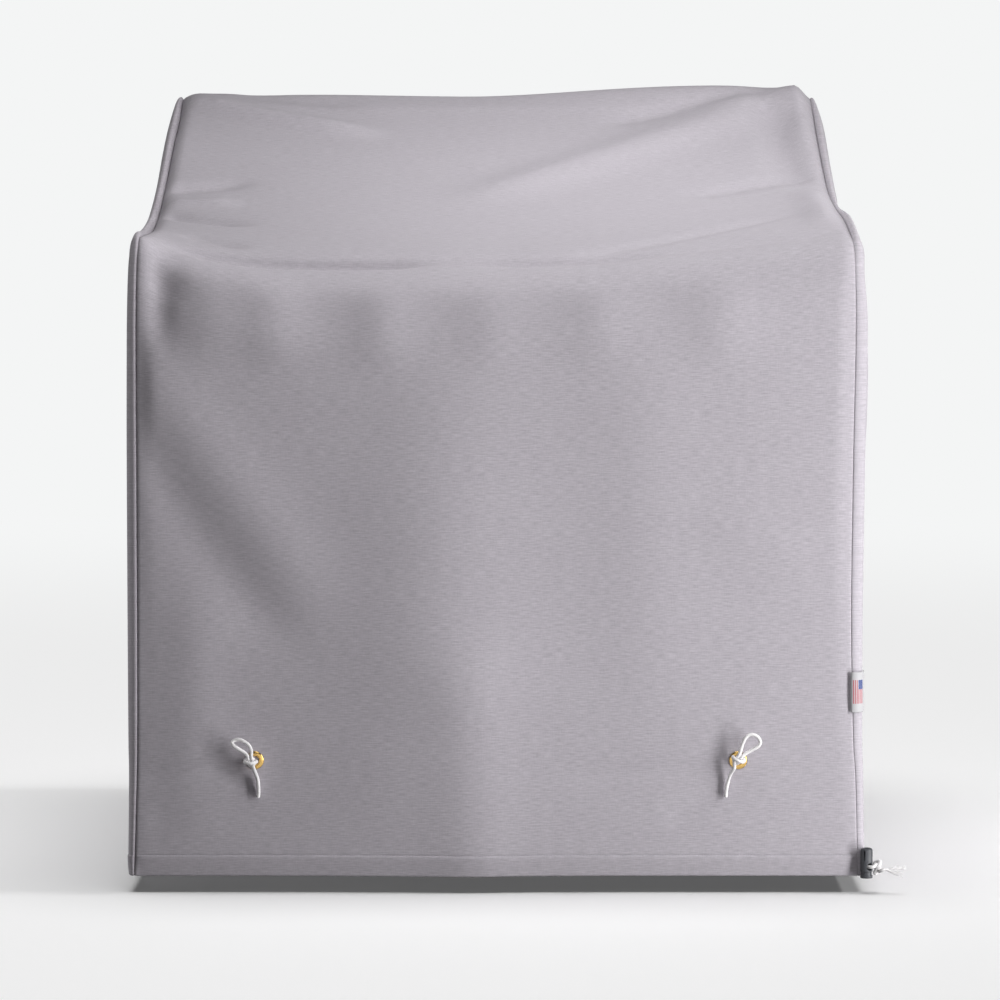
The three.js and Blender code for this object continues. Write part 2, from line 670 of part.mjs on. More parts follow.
// The directions of a knot: along its axis, out towards the front, and sideways. hand mirrors it.
function knotFrame(axis, hand) {
  const along = axis.clone().normalize();
  const out = new THREE.Vector3(0, -1, 0).addScaledVector(along, along.y).normalize();
  const sideways = new THREE.Vector3().crossVectors(out, along).multiplyScalar(hand);
  return { along, out, sideways };
}

// A point of a knot, from its middle in the knot's own directions.
const knotPoint = (center, frame, sideways, along, out) => center.clone()
  .addScaledVector(frame.sideways, sideways)
  .addScaledVector(frame.along, along)
  .addScaledVector(frame.out, out);

// The points of a turn of cord, from one angle to another. Angle 0 is its side towards the front, and
// the turn slides back along its axis by pitch in a full circle.
function knotTurn(center, frame, { radius, from, to, pitch }) {
  const count = Math.round(Math.abs(to - from) / 45);
  return Array.from({ length: count + 1 }, (_, n) => {
    const degrees = THREE.MathUtils.lerp(from, to, n / count);
    const angle = THREE.MathUtils.degToRad(degrees);
    const slide = pitch * (0.5 - n / count);
    return knotPoint(center, frame, radius * Math.sin(angle), slide, radius * Math.cos(angle));
  });
}

function tie(side) {
  const name = side < 0 ? 'left' : 'right';
  const at = ({ right, up, out }) => new THREE.Vector3(right, -out, up);
  const { hand, turnFrom, knot, towardsLoop, loop, freeEnd } = TIES[name];
  const center = at(knot);
  const frame = knotFrame(at(towardsLoop), hand);
  const inKnot = ({ sideways, along, out }) => knotPoint(center, frame, sideways, along, out);
  const stopFrame = knotFrame(at({ right: 1, up: 0, out: 0 }), hand);
  const stopCenter = at({ right: 0, up: -CORD_DROP, out: -STOP_KNOT.depth })
    .addScaledVector(stopFrame.sideways, STOP_KNOT.radius);
  const route = [
    ...knotTurn(stopCenter, stopFrame, STOP_KNOT),
    ...THROUGH_EYELET.map(at),
    ...knotTurn(center, frame, { ...TIE_KNOT, from: turnFrom, to: TIE_KNOT.lastAngle }),
    ...STRAND_UP.map(inKnot),
    ...loop.map(at),
    ...STRAND_DOWN.map(inKnot),
    ...freeEnd.map(at),
  ];
  const mesh = toMesh(name + '_tie', tubeGeometry(route, CORD_RADIUS, TIE_STEPS, 8), cordMaterial());
  mesh.position.copy(eyeletPlace(side));
  return mesh;
}

function flagTag() {
  const line = new THREE.SplineCurve(TAG_LINE.map(({ x, y }) => new THREE.Vector2(x, y)));
  const shares = Array.from({ length: TAG.steps + 1 }, (_, n) => n / TAG.steps);
  const edge = (side) => shares.map((share) => {
    const tangent = line.getTangentAt(share);
    return line.getPointAt(share).add(
      new THREE.Vector2(-tangent.y, tangent.x).multiplyScalar(side * TAG.thickness / 2));
  });
  const outline = new THREE.Shape([...edge(1), ...edge(-1).reverse()]);
  const geometry = new THREE.ExtrudeGeometry(outline, { depth: TAG.top - TAG.bottom, bevelEnabled: false });
  geometry.translate(0, 0, TAG.bottom);
  return toMesh('flag_tag', geometry, tagMaterial());
}

// A direction in the plan, turned from the front towards the right.
function planDirection(degrees) {
  const angle = THREE.MathUtils.degToRad(degrees);
  return new THREE.Vector3(Math.sin(angle), -Math.cos(angle), 0);
}

// An upright box against the lock's outside, for its slot or its flat.
function lockCutter({ angle, width, bottom, top, inner, outer }) {
  const box = new THREE.BoxGeometry(width, outer - inner, top - bottom);
  box.translate(0, -(inner + outer) / 2, (bottom + top) / 2);
  return toSolid(box.rotateZ(THREE.MathUtils.degToRad(angle)));
}

// The cross hole, as an upright oval through the lock's axis.
function lockHoleCutter({ halfWidth, halfHeight }) {
  const hole = new THREE.CylinderGeometry(1, 1, LOCK_HOLE.length, LOCK_HOLE.segments);
  hole.scale(halfWidth, 1, halfHeight).rotateZ(THREE.MathUtils.degToRad(LOCK_HOLE.angle));
  return toSolid(hole.translate(0, 0, LOCK_HOLE.height));
}

// One moulded piece of the lock: its turned shape less its cuts.
function lockPiece(name, profile, cutters) {
  const turned = toSolid(latheGeometry(profile, LOCK.segments).rotateX(Math.PI / 2));
  const solid = cutters.reduce((rest, cutter) => rest.subtract(cutter), turned);
  const mesh = toMesh(name, toGeometry(solid), plasticMaterial());
  mesh.position.set(LOCK.x, LOCK.y, 0);
  return mesh;
}

const lockBarrel = () => lockPiece('cord_lock_barrel', BARREL_PROFILE, [
  lockHoleCutter(BARREL_HOLE),
  lockCutter(LOCK_SLOT),
  lockCutter(LOCK_FLAT),
]);

const lockPlunger = () => lockPiece('cord_lock_plunger', PLUNGER_PROFILE, [lockHoleCutter(PLUNGER_HOLE)]);

// The route of the hem cord: straight through the lock's cross hole, round to the right, and once round
// itself in an overhand knot whose open lobe faces the front.
function hemCordRoute() {
  const middle = new THREE.Vector3(LOCK.x, LOCK.y, LOCK_HOLE.height);
  const direction = planDirection(LOCK_HOLE.angle);
  const { x, y, z, radius, lobe, depth, steps, openAngle } = HEM_KNOT;
  const first = THREE.MathUtils.degToRad(180 + openAngle);
  const last = THREE.MathUtils.degToRad(540 - openAngle);
  const knot = Array.from({ length: steps + 1 }, (_, n) => {
    const angle = THREE.MathUtils.lerp(first, last, n / steps);
    return new THREE.Vector3(
      x + depth * Math.sin(3 * angle),
      y + radius * (1 + Math.cos(angle) - lobe * Math.cos(2 * angle)),
      z + radius * (Math.sin(angle) + lobe * Math.sin(2 * angle)),
    );
  });
  const fromKnot = ({ right, back, up }) => new THREE.Vector3(x + right, y + back, z + up);
  return [
    ...HEM_CORD_STRAIGHT.map((distance) => middle.clone().addScaledVector(direction, distance)),
    fromKnot(HEM_BEND),
    ...knot,
    ...HEM_TAIL.map(fromKnot),
  ];
}

function hemCord() {
  return toMesh('hem_cord', tubeGeometry(hemCordRoute(), CORD_RADIUS, HEM_CORD_STEPS, 8), cordMaterial());
}

// The strands past the knot, fanned out and wavy, joined where they leave the cord.
function hemCordFray() {
  const route = hemCordRoute();
  const start = route.at(-1).clone();
  start.x += GAP;
  const rootEnd = start.clone();
  rootEnd.x += FRAY.rootLength;
  let solid = toSolid(tubeGeometry([start, rootEnd], FRAY.rootRadius, 1, 8));
  FRAY_STRANDS.forEach(({ length, rise, back, wave }) => {
    const points = Array.from({ length: FRAY.steps + 1 }, (_, n) => {
      const share = n / FRAY.steps;
      const ripple = wave * Math.sin(3 * Math.PI * share) * share;
      return start.clone().add(new THREE.Vector3(
        FRAY.rootLength / 2 + length * share,
        back * THREE.MathUtils.lerp(FRAY.startBack, 1, share) + ripple,
        rise * THREE.MathUtils.lerp(FRAY.startRise, 1, share) + ripple,
      ));
    });
    solid = solid.add(toSolid(tubeGeometry(points, FRAY.strandRadius, FRAY.steps, 4)));
  });
  return toMesh('hem_cord_fray', toGeometry(solid), cordMaterial());
}

const cover = new THREE.Group();
cover.position.set(-ORIGIN.x, -ORIGIN.y, -ORIGIN.z);
cover.add(widePanel(), sidePanel(-1), sidePanel(1));
cover.add(eyelet(-1), eyelet(1), tie(-1), tie(1), flagTag());
cover.add(lockBarrel(), lockPlunger(), hemCord(), hemCordFray());

export default cover;
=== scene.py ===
# A fitted outdoor cover for a lounge chair, as it hangs in use: one wide panel over the front, the
# slope, the crest and the back, a side panel on each side, and its ties, tag and cord lock.
import math

import bmesh
import bpy
import numpy as np
from mathutils import Matrix, Vector


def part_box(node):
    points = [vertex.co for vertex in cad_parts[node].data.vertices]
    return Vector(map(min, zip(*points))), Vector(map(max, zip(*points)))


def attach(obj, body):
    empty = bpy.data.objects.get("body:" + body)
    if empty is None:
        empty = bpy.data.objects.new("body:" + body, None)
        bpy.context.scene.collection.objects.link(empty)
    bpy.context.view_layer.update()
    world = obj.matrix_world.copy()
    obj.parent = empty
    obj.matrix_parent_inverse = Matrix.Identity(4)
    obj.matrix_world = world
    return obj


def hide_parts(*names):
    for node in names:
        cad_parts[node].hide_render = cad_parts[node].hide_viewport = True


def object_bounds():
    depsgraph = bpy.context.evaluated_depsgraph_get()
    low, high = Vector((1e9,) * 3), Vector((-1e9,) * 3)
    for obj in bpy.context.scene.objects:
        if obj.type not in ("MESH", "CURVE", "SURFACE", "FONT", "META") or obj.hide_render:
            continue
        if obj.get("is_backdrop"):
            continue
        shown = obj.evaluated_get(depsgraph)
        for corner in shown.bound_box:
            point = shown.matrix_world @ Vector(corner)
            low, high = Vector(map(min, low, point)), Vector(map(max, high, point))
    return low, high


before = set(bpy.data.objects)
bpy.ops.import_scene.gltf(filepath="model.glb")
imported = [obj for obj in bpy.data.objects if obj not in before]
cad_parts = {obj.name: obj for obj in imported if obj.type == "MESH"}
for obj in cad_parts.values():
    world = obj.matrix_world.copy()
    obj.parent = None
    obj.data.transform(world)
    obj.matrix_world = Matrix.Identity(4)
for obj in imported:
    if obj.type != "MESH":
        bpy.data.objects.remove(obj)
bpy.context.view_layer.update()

# ----------------------------------------
# Camera: the photograph's view, from straight ahead and a little above the shoulders, through a long
# lens five metres away.

bpy.ops.object.camera_add(location=(0.0037, -6.00957, -0.06402), rotation=(math.radians(85.94), 0, 0))
camera = bpy.context.object
camera.data.lens = 177.5
camera.data.sensor_width = 36
camera.data.clip_end = 100
bpy.context.scene.camera = camera

# ----------------------------------------
# Ties: a white braided polyester cord through each eyelet, with a stop knot behind the cloth, a knot
# with one loop in front of it and a cut free end. Nothing holds them but their own knots.

MM = 0.001
CORD_RADIUS = 1.9 * MM
CORD_SIDES = 20
CORD_STEP = 0.7 * MM

# How far the rings of a cut end draw in, as shares of the radius and distances past the end.
CUT_END = ((0.86, 0.25 * MM), (0.5, 0.4 * MM))


def travelled(line):
    """The distance travelled up to each point of a line."""
    return np.concatenate([[0], np.cumsum(np.linalg.norm(np.diff(line, axis=0), axis=1))])


def smooth_route(points, step):
    """Evenly spaced points on the centripetal curve through the points."""
    points = [np.array(p, float) for p in points]
    points = [2 * points[0] - points[1], *points, 2 * points[-1] - points[-2]]
    line = []
    for p0, p1, p2, p3 in zip(points, points[1:], points[2:], points[3:]):
        d0, d1, d2 = (math.sqrt(np.linalg.norm(b - a)) for a, b in ((p0, p1), (p1, p2), (p2, p3)))
        start = ((p1 - p0) / d0 - (p2 - p0) / (d0 + d1) + (p2 - p1) / d1) * d1
        end = ((p2 - p1) / d1 - (p3 - p1) / (d1 + d2) + (p3 - p2) / d2) * d1
        for t in np.arange(0, 1, 0.02):
            line.append(
                p1 + start * t + (3 * (p2 - p1) - 2 * start - end) * t**2
                + (2 * (p1 - p2) + start + end) * t**3
            )
    line = np.array([*line, points[-2]])
    distance = travelled(line)
    even = np.linspace(0, distance[-1], max(2, round(distance[-1] / step) + 1))
    return np.stack([np.interp(even, distance, line[:, axis]) for axis in range(3)], axis=1)


def mesh_object(name, points, faces, uv):
    """A mesh piece with its UV map in metres, one pair for each point of each face."""
    mesh = bpy.data.meshes.new(name)
    mesh.from_pydata([tuple(p) for p in points], [], [tuple(int(i) for i in f) for f in faces])
    layer = mesh.uv_layers.new(name="UVMap")
    layer.data.foreach_set("uv", np.array(uv, np.float32).ravel())
    mesh.validate()
    piece = bpy.data.objects.new(name, mesh)
    bpy.context.collection.objects.link(piece)
    mesh.shade_smooth()
    return piece


def stands_for(piece, node):
    """A piece is drawn in place of a node, on the only body."""
    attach(piece, "root")
    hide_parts(node)


def cord_tube(line, radius, sides, first):
    """Points, faces and UVs of a tube round a line, with drawn in ends. A ring never twists."""
    tangent = np.gradient(line, axis=0)
    tangent /= np.linalg.norm(tangent, axis=1)[:, None]
    side = np.cross(tangent[0], (0.31, 0.87, 0.38))
    side /= np.linalg.norm(side)
    rings = [
        *((line[0] - tangent[0] * past, tangent[0], share) for share, past in reversed(CUT_END)),
        *((middle, direction, 1) for middle, direction in zip(line, tangent)),
        *((line[-1] + tangent[-1] * past, tangent[-1], share) for share, past in CUT_END),
    ]
    angles = np.linspace(0, 2 * math.pi, sides, endpoint=False)
    points, runs, run = [], [], 0.0
    for n, (middle, direction, share) in enumerate(rings):
        side = side - direction * (side @ direction)
        side /= np.linalg.norm(side)
        other = np.cross(direction, side)
        run += np.linalg.norm(middle - rings[n - 1][0]) if n else 0
        runs.append(run)
        points += [middle + radius * share * (math.cos(a) * side + math.sin(a) * other) for a in angles]
    faces, uv = [], []
    around = 2 * math.pi * radius / sides
    for n in range(len(rings) - 1):
        for k in range(sides):
            a, b = n * sides + k, n * sides + (k + 1) % sides
            faces.append((first + a, first + b, first + b + sides, first + a + sides))
            left, right, low, high = around * k, around * (k + 1), runs[n], runs[n + 1]
            uv += [(left, low), (right, low), (right, high), (left, high)]
    last = first + (len(rings) - 1) * sides
    faces.append(tuple(first + k for k in reversed(range(sides))))
    faces.append(tuple(last + k for k in range(sides)))
    uv += [(0.0, 0.0)] * sides + [(0.0, run)] * sides
    return points, faces, uv


def tubes_object(name, tubes):
    """A piece of tubes, each with its line, radius and number of sides."""
    points, faces, uv = [], [], []
    for line, radius, sides in tubes:
        for gathered, made in zip((points, faces, uv), cord_tube(line, radius, sides, len(points))):
            gathered += made
    return mesh_object(name, points, faces, uv)


def knot_frame(axis, hand):
    """The directions of a knot: along its axis, out towards the front, and sideways."""
    along = np.array(axis, float) / np.linalg.norm(axis)
    out = np.array((0, -1, 0)) + along * along[1]
    out = out / np.linalg.norm(out)
    return np.cross(out, along) * hand, along, out


def knot_turn(center, directions, radius, start, end, pitch):
    """One turn of cord. Angle 0 is its side towards the front."""
    sideways, along, out = directions
    count = round(abs(end - start) / 45)
    turn = []
    for n in range(count + 1):
        angle = math.radians(start + (end - start) * n / count)
        slide = pitch * (0.5 - n / count)
        turn.append(
            center + radius * math.sin(angle) * sideways + slide * along + radius * math.cos(angle) * out
        )
    return turn


# Millimetres right, up and out from the middle of the eyelet. hand says which way round the knot is
# tied, and turn_from the angle at which its turn starts.
TIES = {
    "left": {
        "hand": -1,
        "turn_from": 180,
        "knot": (-4.2, 0.4, 12),
        "towards_loop": (-0.16, 0.96, 0.22),
        "loop": [
            (-9.4, 8.7, 13), (-13.8, 11.9, 14.2), (-18.2, 14.8, 15.4), (-21.8, 17.4, 15.6),
            (-23.4, 20.2, 14.2), (-20.9, 22.8, 13.4), (-16.4, 23.6, 13.6), (-11.6, 22, 13.8),
            (-7.2, 19, 13.6), (-4.6, 15.6, 13.2), (-3.2, 11, 12.6),
        ],
        "free_end": [
            (-0.8, -7.4, 11), (1.2, -13, 8), (3.2, -20, 5.4),
            (4, -28, 4.8), (4.1, -34, 4.4), (3.6, -39.3, 4.2),
        ],
    },
    "right": {
        "hand": 1,
        "turn_from": 225,
        "knot": (-0.2, 2.6, 11.6),
        "towards_loop": (0.52, 0.83, 0.22),
        "loop": [
            (12, 11.2, 12.8), (17.2, 14.1, 13.4), (21, 16.7, 13.8), (22.7, 20.4, 14),
            (21.5, 24.4, 14.2), (18.4, 27.6, 14.4), (14.6, 29, 14.6), (10.7, 28.5, 14.6),
            (7.4, 25.8, 14.4), (4.8, 21, 13.8), (3, 15.6, 13),
        ],
        "free_end": [
            (-4.6, -6.8, 11.6), (-7.6, -12.6, 8), (-10.3, -20.1, 5.4),
            (-12, -27.5, 4.8), (-12.8, -33.5, 4.4), (-13.2, -39, 4.2),
        ],
    },
}
# The knot in front: the radius and pitch of its turn, its reach, and half the way between its strands.
TURN_RADIUS, TURN_PITCH, REACH, STRAND = 0.0061, 0.0044, 0.0054, 0.00195
# The stop knot's radius and its way behind the cloth, the cord's drop in the bore, the eyelet's rim.
STOP_RADIUS, STOP_DEPTH, CORD_DROP, EYELET_FRONT = 0.004, 0.013, 0.0021, 0.0025


def eyelet_middle(side):
    low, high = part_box(side + "_eyelet")
    return np.array(((low[0] + high[0]) / 2, low[1] + EYELET_FRONT, (low[2] + high[2]) / 2))


def tie_route(tie):
    def at(right, up, out):
        return np.array((right, -out, up))

    center = at(*tie["knot"]) * MM
    directions = knot_frame(at(*tie["towards_loop"]), tie["hand"])

    def in_knot(sideways, along, out):
        return center + sideways * directions[0] + along * directions[1] + out * directions[2]

    stop = knot_frame((1, 0, 0), tie["hand"])
    stop_center = at(0, -CORD_DROP, -STOP_DEPTH) + STOP_RADIUS * stop[0]
    return [
        *knot_turn(stop_center, stop, STOP_RADIUS, -405, -90, TURN_PITCH),
        at(-0.001, -CORD_DROP, -0.007),
        at(0, -CORD_DROP, -0.0012),
        at(0, -CORD_DROP, 0.0012),
        at(0, -0.001, 0.0036),
        *knot_turn(center, directions, TURN_RADIUS, tie["turn_from"], 480, TURN_PITCH),
        in_knot(0.0024, -REACH - 0.0003, -0.0042),
        in_knot(-0.0004, -REACH - 0.0016, -0.0036),
        in_knot(-STRAND, -REACH + 0.0008, -0.0016),
        in_knot(-STRAND, 0, 0),
        in_knot(-STRAND, REACH, 0),
        *(at(*p) * MM for p in tie["loop"]),
        in_knot(STRAND, REACH, 0),
        in_knot(STRAND, 0, 0.0003),
        in_knot(STRAND, -REACH + 0.0006, 0.0012),
        *(at(*p) * MM for p in tie["free_end"]),
    ]


cord_pieces = []
for side, tie in TIES.items():
    line = smooth_route([eyelet_middle(side) + p for p in tie_route(tie)], CORD_STEP)
    piece = tubes_object(side + "_cord_tie", [(line, CORD_RADIUS, CORD_SIDES)])
    stands_for(piece, side + "_tie")
    cord_pieces.append(piece)


def linear(hex_colour):
    """An sRGB hex colour as the linear colour that a socket takes."""
    shares = [int(hex_colour[n : n + 2], 16) / 255 for n in (1, 3, 5)]
    return (*(s / 12.92 if s <= 0.04045 else ((s + 0.055) / 1.055) ** 2.4 for s in shares), 1.0)


def set_inputs(node, inputs):
    """Gives inputs their values, colours in hex, or what feeds them: a node by its output in use."""
    for name, source in inputs.items():
        if isinstance(source, bpy.types.Node):
            source = next(output for output in source.outputs if output.enabled)
        if isinstance(source, bpy.types.NodeSocket):
            node.id_data.links.new(source, node.inputs[name])
        else:
            node.inputs[name].default_value = linear(source) if isinstance(source, str) else source


def add_node(tree, kind, inputs=None, **settings):
    """Adds a node. A mix of colours takes its share at input 0 and its colours at 6 and 7."""
    made = tree.nodes.new("ShaderNode" + kind)
    for name, value in settings.items():
        setattr(made, name, value)
    set_inputs(made, inputs or {})
    return made


def new_finish(name):
    """A material with its shader, and the shader's node tree."""
    finish = bpy.data.materials.new(name)
    finish.use_nodes = True
    return finish, finish.node_tree, finish.node_tree.nodes["Principled BSDF"]


# White braided polyester cord: sixteen bright filament strands cross at a slant, so it has a soft sheen
# and a fine herringbone, with painted shade in the grooves between the strands. The strands are 0.75 mm
# wide.
BRAID_STRAND, BRAID_SLANT = 0.75 * MM, math.radians(38)
# The scale of a wave texture whose bands are a metre apart.
BANDS = 2 * math.pi / 20

white_cord, tree, shader = new_finish("braided polyester, white")
place = add_node(tree, "UVMap", uv_map="UVMap")
waves = []
for slant in (BRAID_SLANT, -BRAID_SLANT):
    turned = add_node(tree, "Mapping", {"Vector": place, "Rotation": (0, 0, slant)})
    wave = add_node(
        tree, "TexWave", {"Vector": turned, "Scale": BANDS / BRAID_STRAND, "Distortion": 0.4}
    )
    waves.append(wave.outputs["Fac"])
relief = add_node(tree, "Math", {0: waves[0], 1: waves[1]}, operation="MAXIMUM")
# Painted shade: the colour is darker where the strands dip into the grooves between them.
shade = add_node(tree, "Mix", {0: relief, 6: "#D9D6D8", 7: "#F6F4F4"}, data_type="RGBA")
bump = add_node(tree, "Bump", {"Height": relief, "Strength": 0.5, "Distance": 0.12 * MM})
set_inputs(shader, {
    "Base Color": shade, "Normal": bump, "Roughness": 0.5, "Sheen Weight": 0.3,
})
for piece in cord_pieces:
    piece.data.materials.append(white_cord)

# ----------------------------------------
# Hem cord: the same cord runs in the hem all round. One end comes out of the lower right corner,
# through the cord lock, and ends in an overhand knot, past which its strands have come unlaid.

LOCK_MIDDLE = np.array((0.3936, -0.8044, -0.8243))
LOCK_TURN = math.radians(28)
HEM_KNOT = np.array((0.4053, -0.806, -0.8256))
# The overhand knot is an open trefoil: its radius, how far its lobes reach, its half depth, half the
# angle left open, and its steps.
KNOT_RADIUS, KNOT_LOBE, KNOT_DEPTH, KNOT_OPEN, KNOT_STEPS = 0.00205, 2.45, 0.0029, math.radians(26), 20

towards_front = np.array((math.sin(LOCK_TURN), -math.cos(LOCK_TURN), 0))
overhand_knot = []
for angle in np.linspace(math.pi + KNOT_OPEN, 3 * math.pi - KNOT_OPEN, KNOT_STEPS + 1):
    overhand_knot.append(HEM_KNOT + (
        KNOT_DEPTH * math.sin(3 * angle),
        KNOT_RADIUS * (1 + math.cos(angle) - KNOT_LOBE * math.cos(2 * angle)),
        KNOT_RADIUS * (math.sin(angle) + KNOT_LOBE * math.sin(2 * angle)),
    ))
hem_route = smooth_route([
    *(LOCK_MIDDLE + towards_front * distance for distance in (-0.0075, -0.002, 0.003, 0.0071)),
    HEM_KNOT + (-0.0046, -0.0056, 0.002),
    *overhand_knot,
    HEM_KNOT + (0.0044, -0.0048, -0.0019),
    HEM_KNOT + (0.0055, -0.0053, -0.0012),
    HEM_KNOT + (0.007, -0.0053, -0.0012),
], CORD_STEP)
hem_cord = tubes_object("hem_drawcord_end", [(hem_route, CORD_RADIUS, CORD_SIDES)])
stands_for(hem_cord, "hem_cord")
hem_cord.data.materials.append(white_cord)

# The unlaid strands: length, rise and way back in millimetres, and how far each waves.
LOOSE_STRANDS = (
    (20, 2.8, -2.4, 0.7), (21, 1.2, -0.4, -0.6), (19, -0.4, 2, 0.5), (20, 3.6, 2.6, -0.5),
    (17, -4.4, -2, 0.6), (16, -6.6, 0.2, -0.7), (18, -9, 2, 0.5), (15, -2.4, -3.6, -0.5),
    (18, 2, 1.2, 0.9), (14, -5.6, 2.6, -0.4), (19, 0.6, -2.4, 0.6), (13, 4.2, -1, 0.8),
)
STRAND_RADIUS, BUNDLE_RADIUS = 0.34 * MM, 1.7 * MM
LOOSE_START = hem_route[-1] + np.array((0.3 * MM, 0, 0))

bundle = smooth_route([LOOSE_START, LOOSE_START + (0.003, 0, 0)], CORD_STEP)
strands = [(bundle, BUNDLE_RADIUS, CORD_SIDES)]
for length, rise, back, wave in LOOSE_STRANDS:
    strand = []
    for share in np.linspace(0, 1, 9):
        ripple = wave * math.sin(3 * math.pi * share) * share
        strand.append(LOOSE_START + MM * np.array((
            1.5 + length * share,
            back * (0.4 + 0.6 * share) + ripple,
            rise * (0.16 + 0.84 * share) + ripple,
        )))
    strands.append((smooth_route(strand, 1.2 * MM), STRAND_RADIUS, 8))
loose_strands = tubes_object("hem_drawcord_strands", strands)
stands_for(loose_strands, "hem_cord_fray")
loose_strands.data.materials.append(white_cord)

# ----------------------------------------
# Cord lock: a moulded nylon barrel with a domed top, closed from below by a plunger whose spring pinches
# the cord in the oval cross hole. It has a slot and a recessed flat in front.

LOCK_SIDES, LOCK_HEIGHT = 64, 31
# Radius and height above the hem line, in millimetres.
BARREL_SHAPE = (
    (0.2, 27), (4.3, 27), (4.3, 5.5), (6.1, 5.5), (6.4, 5.65), (6.5, 6), (6.5, 27.8), (6.35, 28.7),
    (5.9, 29.6), (5.1, 30.3), (4, 30.7), (2.6, 30.92), (0.2, 31),
)
PLUNGER_SHAPE = (
    (0.2, -1.5), (5.4, -1.5), (6.2, -1.3), (6.6, -0.75), (6.65, 0.2), (6.55, 1), (6.15, 1.6), (5.6, 1.8),
    (5.6, 5.2), (4, 5.2), (4, 22.6), (3.6, 23), (0.2, 23),
)


def turned_piece(name, shape, middle, axis, sides, fill):
    """A circle drawn out along a shape of radii and heights in millimetres. fill closes its ends."""
    axis = Vector(axis).normalized()
    radius, height = shape[0]
    bpy.ops.object.select_all(action="DESELECT")
    bpy.ops.mesh.primitive_circle_add(
        vertices=sides, radius=radius * MM, fill_type=fill, location=Vector(middle) + axis * height * MM,
        rotation=axis.to_track_quat("Z", "Y").to_euler(),
    )
    piece = bpy.context.object
    piece.name = name
    bpy.ops.object.transform_apply(location=True, rotation=True, scale=True)
    bpy.ops.object.mode_set(mode="EDIT")
    bpy.ops.mesh.select_all(action="SELECT")
    for next_radius, next_height in shape[1:]:
        move = axis * (next_height - height) * MM
        bpy.ops.mesh.extrude_region_move(TRANSFORM_OT_translate={"value": move})
        share = next_radius / radius
        bpy.ops.transform.resize(
            value=(share, share, share), center_override=Vector(middle) + axis * next_height * MM
        )
        radius, height = next_radius, next_height
    bpy.ops.mesh.select_all(action="SELECT")
    bpy.ops.mesh.remove_doubles(threshold=1e-6)
    bpy.ops.mesh.normals_make_consistent(inside=False)
    bpy.ops.object.mode_set(mode="OBJECT")
    return piece


def apply_modifier(piece, name, kind, **settings):
    bpy.ops.object.select_all(action="DESELECT")
    piece.select_set(True)
    bpy.context.view_layer.objects.active = piece
    made = piece.modifiers.new(name, kind)
    for setting, value in settings.items():
        setattr(made, setting, value)
    bpy.ops.object.modifier_apply(modifier=made.name)


def cut_away(piece, cutter):
    apply_modifier(piece, "cut", "BOOLEAN", object=cutter, operation="DIFFERENCE", solver="EXACT")
    bpy.data.objects.remove(cutter)


def oval_cutter(half_width, half_height):
    """The cross hole, through the lock's axis."""
    bpy.ops.mesh.primitive_cylinder_add(
        vertices=40, radius=1, depth=0.03, location=LOCK_MIDDLE,
        rotation=(math.pi / 2, 0, LOCK_TURN), scale=(half_width * MM, half_height * MM, 1),
    )
    return bpy.context.object


def upright_cutter(degrees, width, low, high, inner, outer):
    """A block against the outside of the lock."""
    angle, reach, height = math.radians(degrees), (inner + outer) / 2 * MM, (low + high) / 2 * MM
    bpy.ops.mesh.primitive_cube_add(
        size=1, rotation=(0, 0, angle), scale=(width * MM, (outer - inner) * MM, (high - low) * MM),
        location=lock_foot + Vector((math.sin(angle) * reach, -math.cos(angle) * reach, height)),
    )
    return bpy.context.object


lock_low, lock_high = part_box("cord_lock_barrel")
lock_foot = Vector((
    (lock_low.x + lock_high.x) / 2, (lock_low.y + lock_high.y) / 2, lock_high.z - LOCK_HEIGHT * MM,
))
barrel = turned_piece("cord_lock_body", BARREL_SHAPE, lock_foot, (0, 0, 1), LOCK_SIDES, "NGON")
cut_away(barrel, oval_cutter(3.4, 4.2))
cut_away(barrel, upright_cutter(-22, 1.3, 17.4, 28.3, 3.3, 7.5))
cut_away(barrel, upright_cutter(15, 13, 16.5, 29, 5.9, 7.5))
plunger = turned_piece("cord_lock_push_button", PLUNGER_SHAPE, lock_foot, (0, 0, 1), LOCK_SIDES, "NGON")
cut_away(plunger, oval_cutter(2.5, 3.2))
for piece, node in ((barrel, "cord_lock_barrel"), (plunger, "cord_lock_plunger")):
    apply_modifier(
        piece, "moulded edges", "BEVEL", width=0.18 * MM, segments=2, limit_method="ANGLE",
        angle_limit=math.radians(40),
    )
    bpy.ops.object.shade_smooth_by_angle(angle=math.radians(35))
    stands_for(piece, node)


def grained_finish(name, shades, cloud, detail, grain, gloss, strength, depth):
    """A hard surface: two shades in soft clouds, and a fine grain in its gloss and its relief."""
    finish, tree, shader = new_finish(name)
    place = add_node(tree, "TexCoord").outputs["Object"]
    clouds = add_node(tree, "TexNoise", {"Vector": place, "Scale": 1 / cloud, "Detail": detail})
    marks = add_node(tree, "TexNoise", {"Vector": place, "Scale": 1 / grain, "Detail": 2})
    shade = add_node(tree, "Mix", {0: clouds, 6: shades[0], 7: shades[1]}, data_type="RGBA")
    rough = add_node(tree, "MapRange", {"Value": marks, "To Min": gloss[0], "To Max": gloss[1]})
    bump = add_node(tree, "Bump", {"Height": marks, "Strength": strength, "Distance": depth})
    set_inputs(shader, {"Base Color": shade, "Roughness": rough, "Normal": bump})
    return finish, shader


# Injection-moulded nylon from a lightly blasted mould: dark grey, with a soft broad shine and a fine
# grain 0.4 mm across.
satin_nylon, shader = grained_finish(
    "moulded nylon, satin dark grey", ("#35373C", "#46484D"), 7 * MM, 2, 0.4 * MM, (0.38, 0.54),
    0.25, 0.04 * MM,
)
shader.inputs["IOR"].default_value = 1.53
for piece in (barrel, plunger):
    piece.data.materials.clear()
    piece.data.materials.append(satin_nylon)

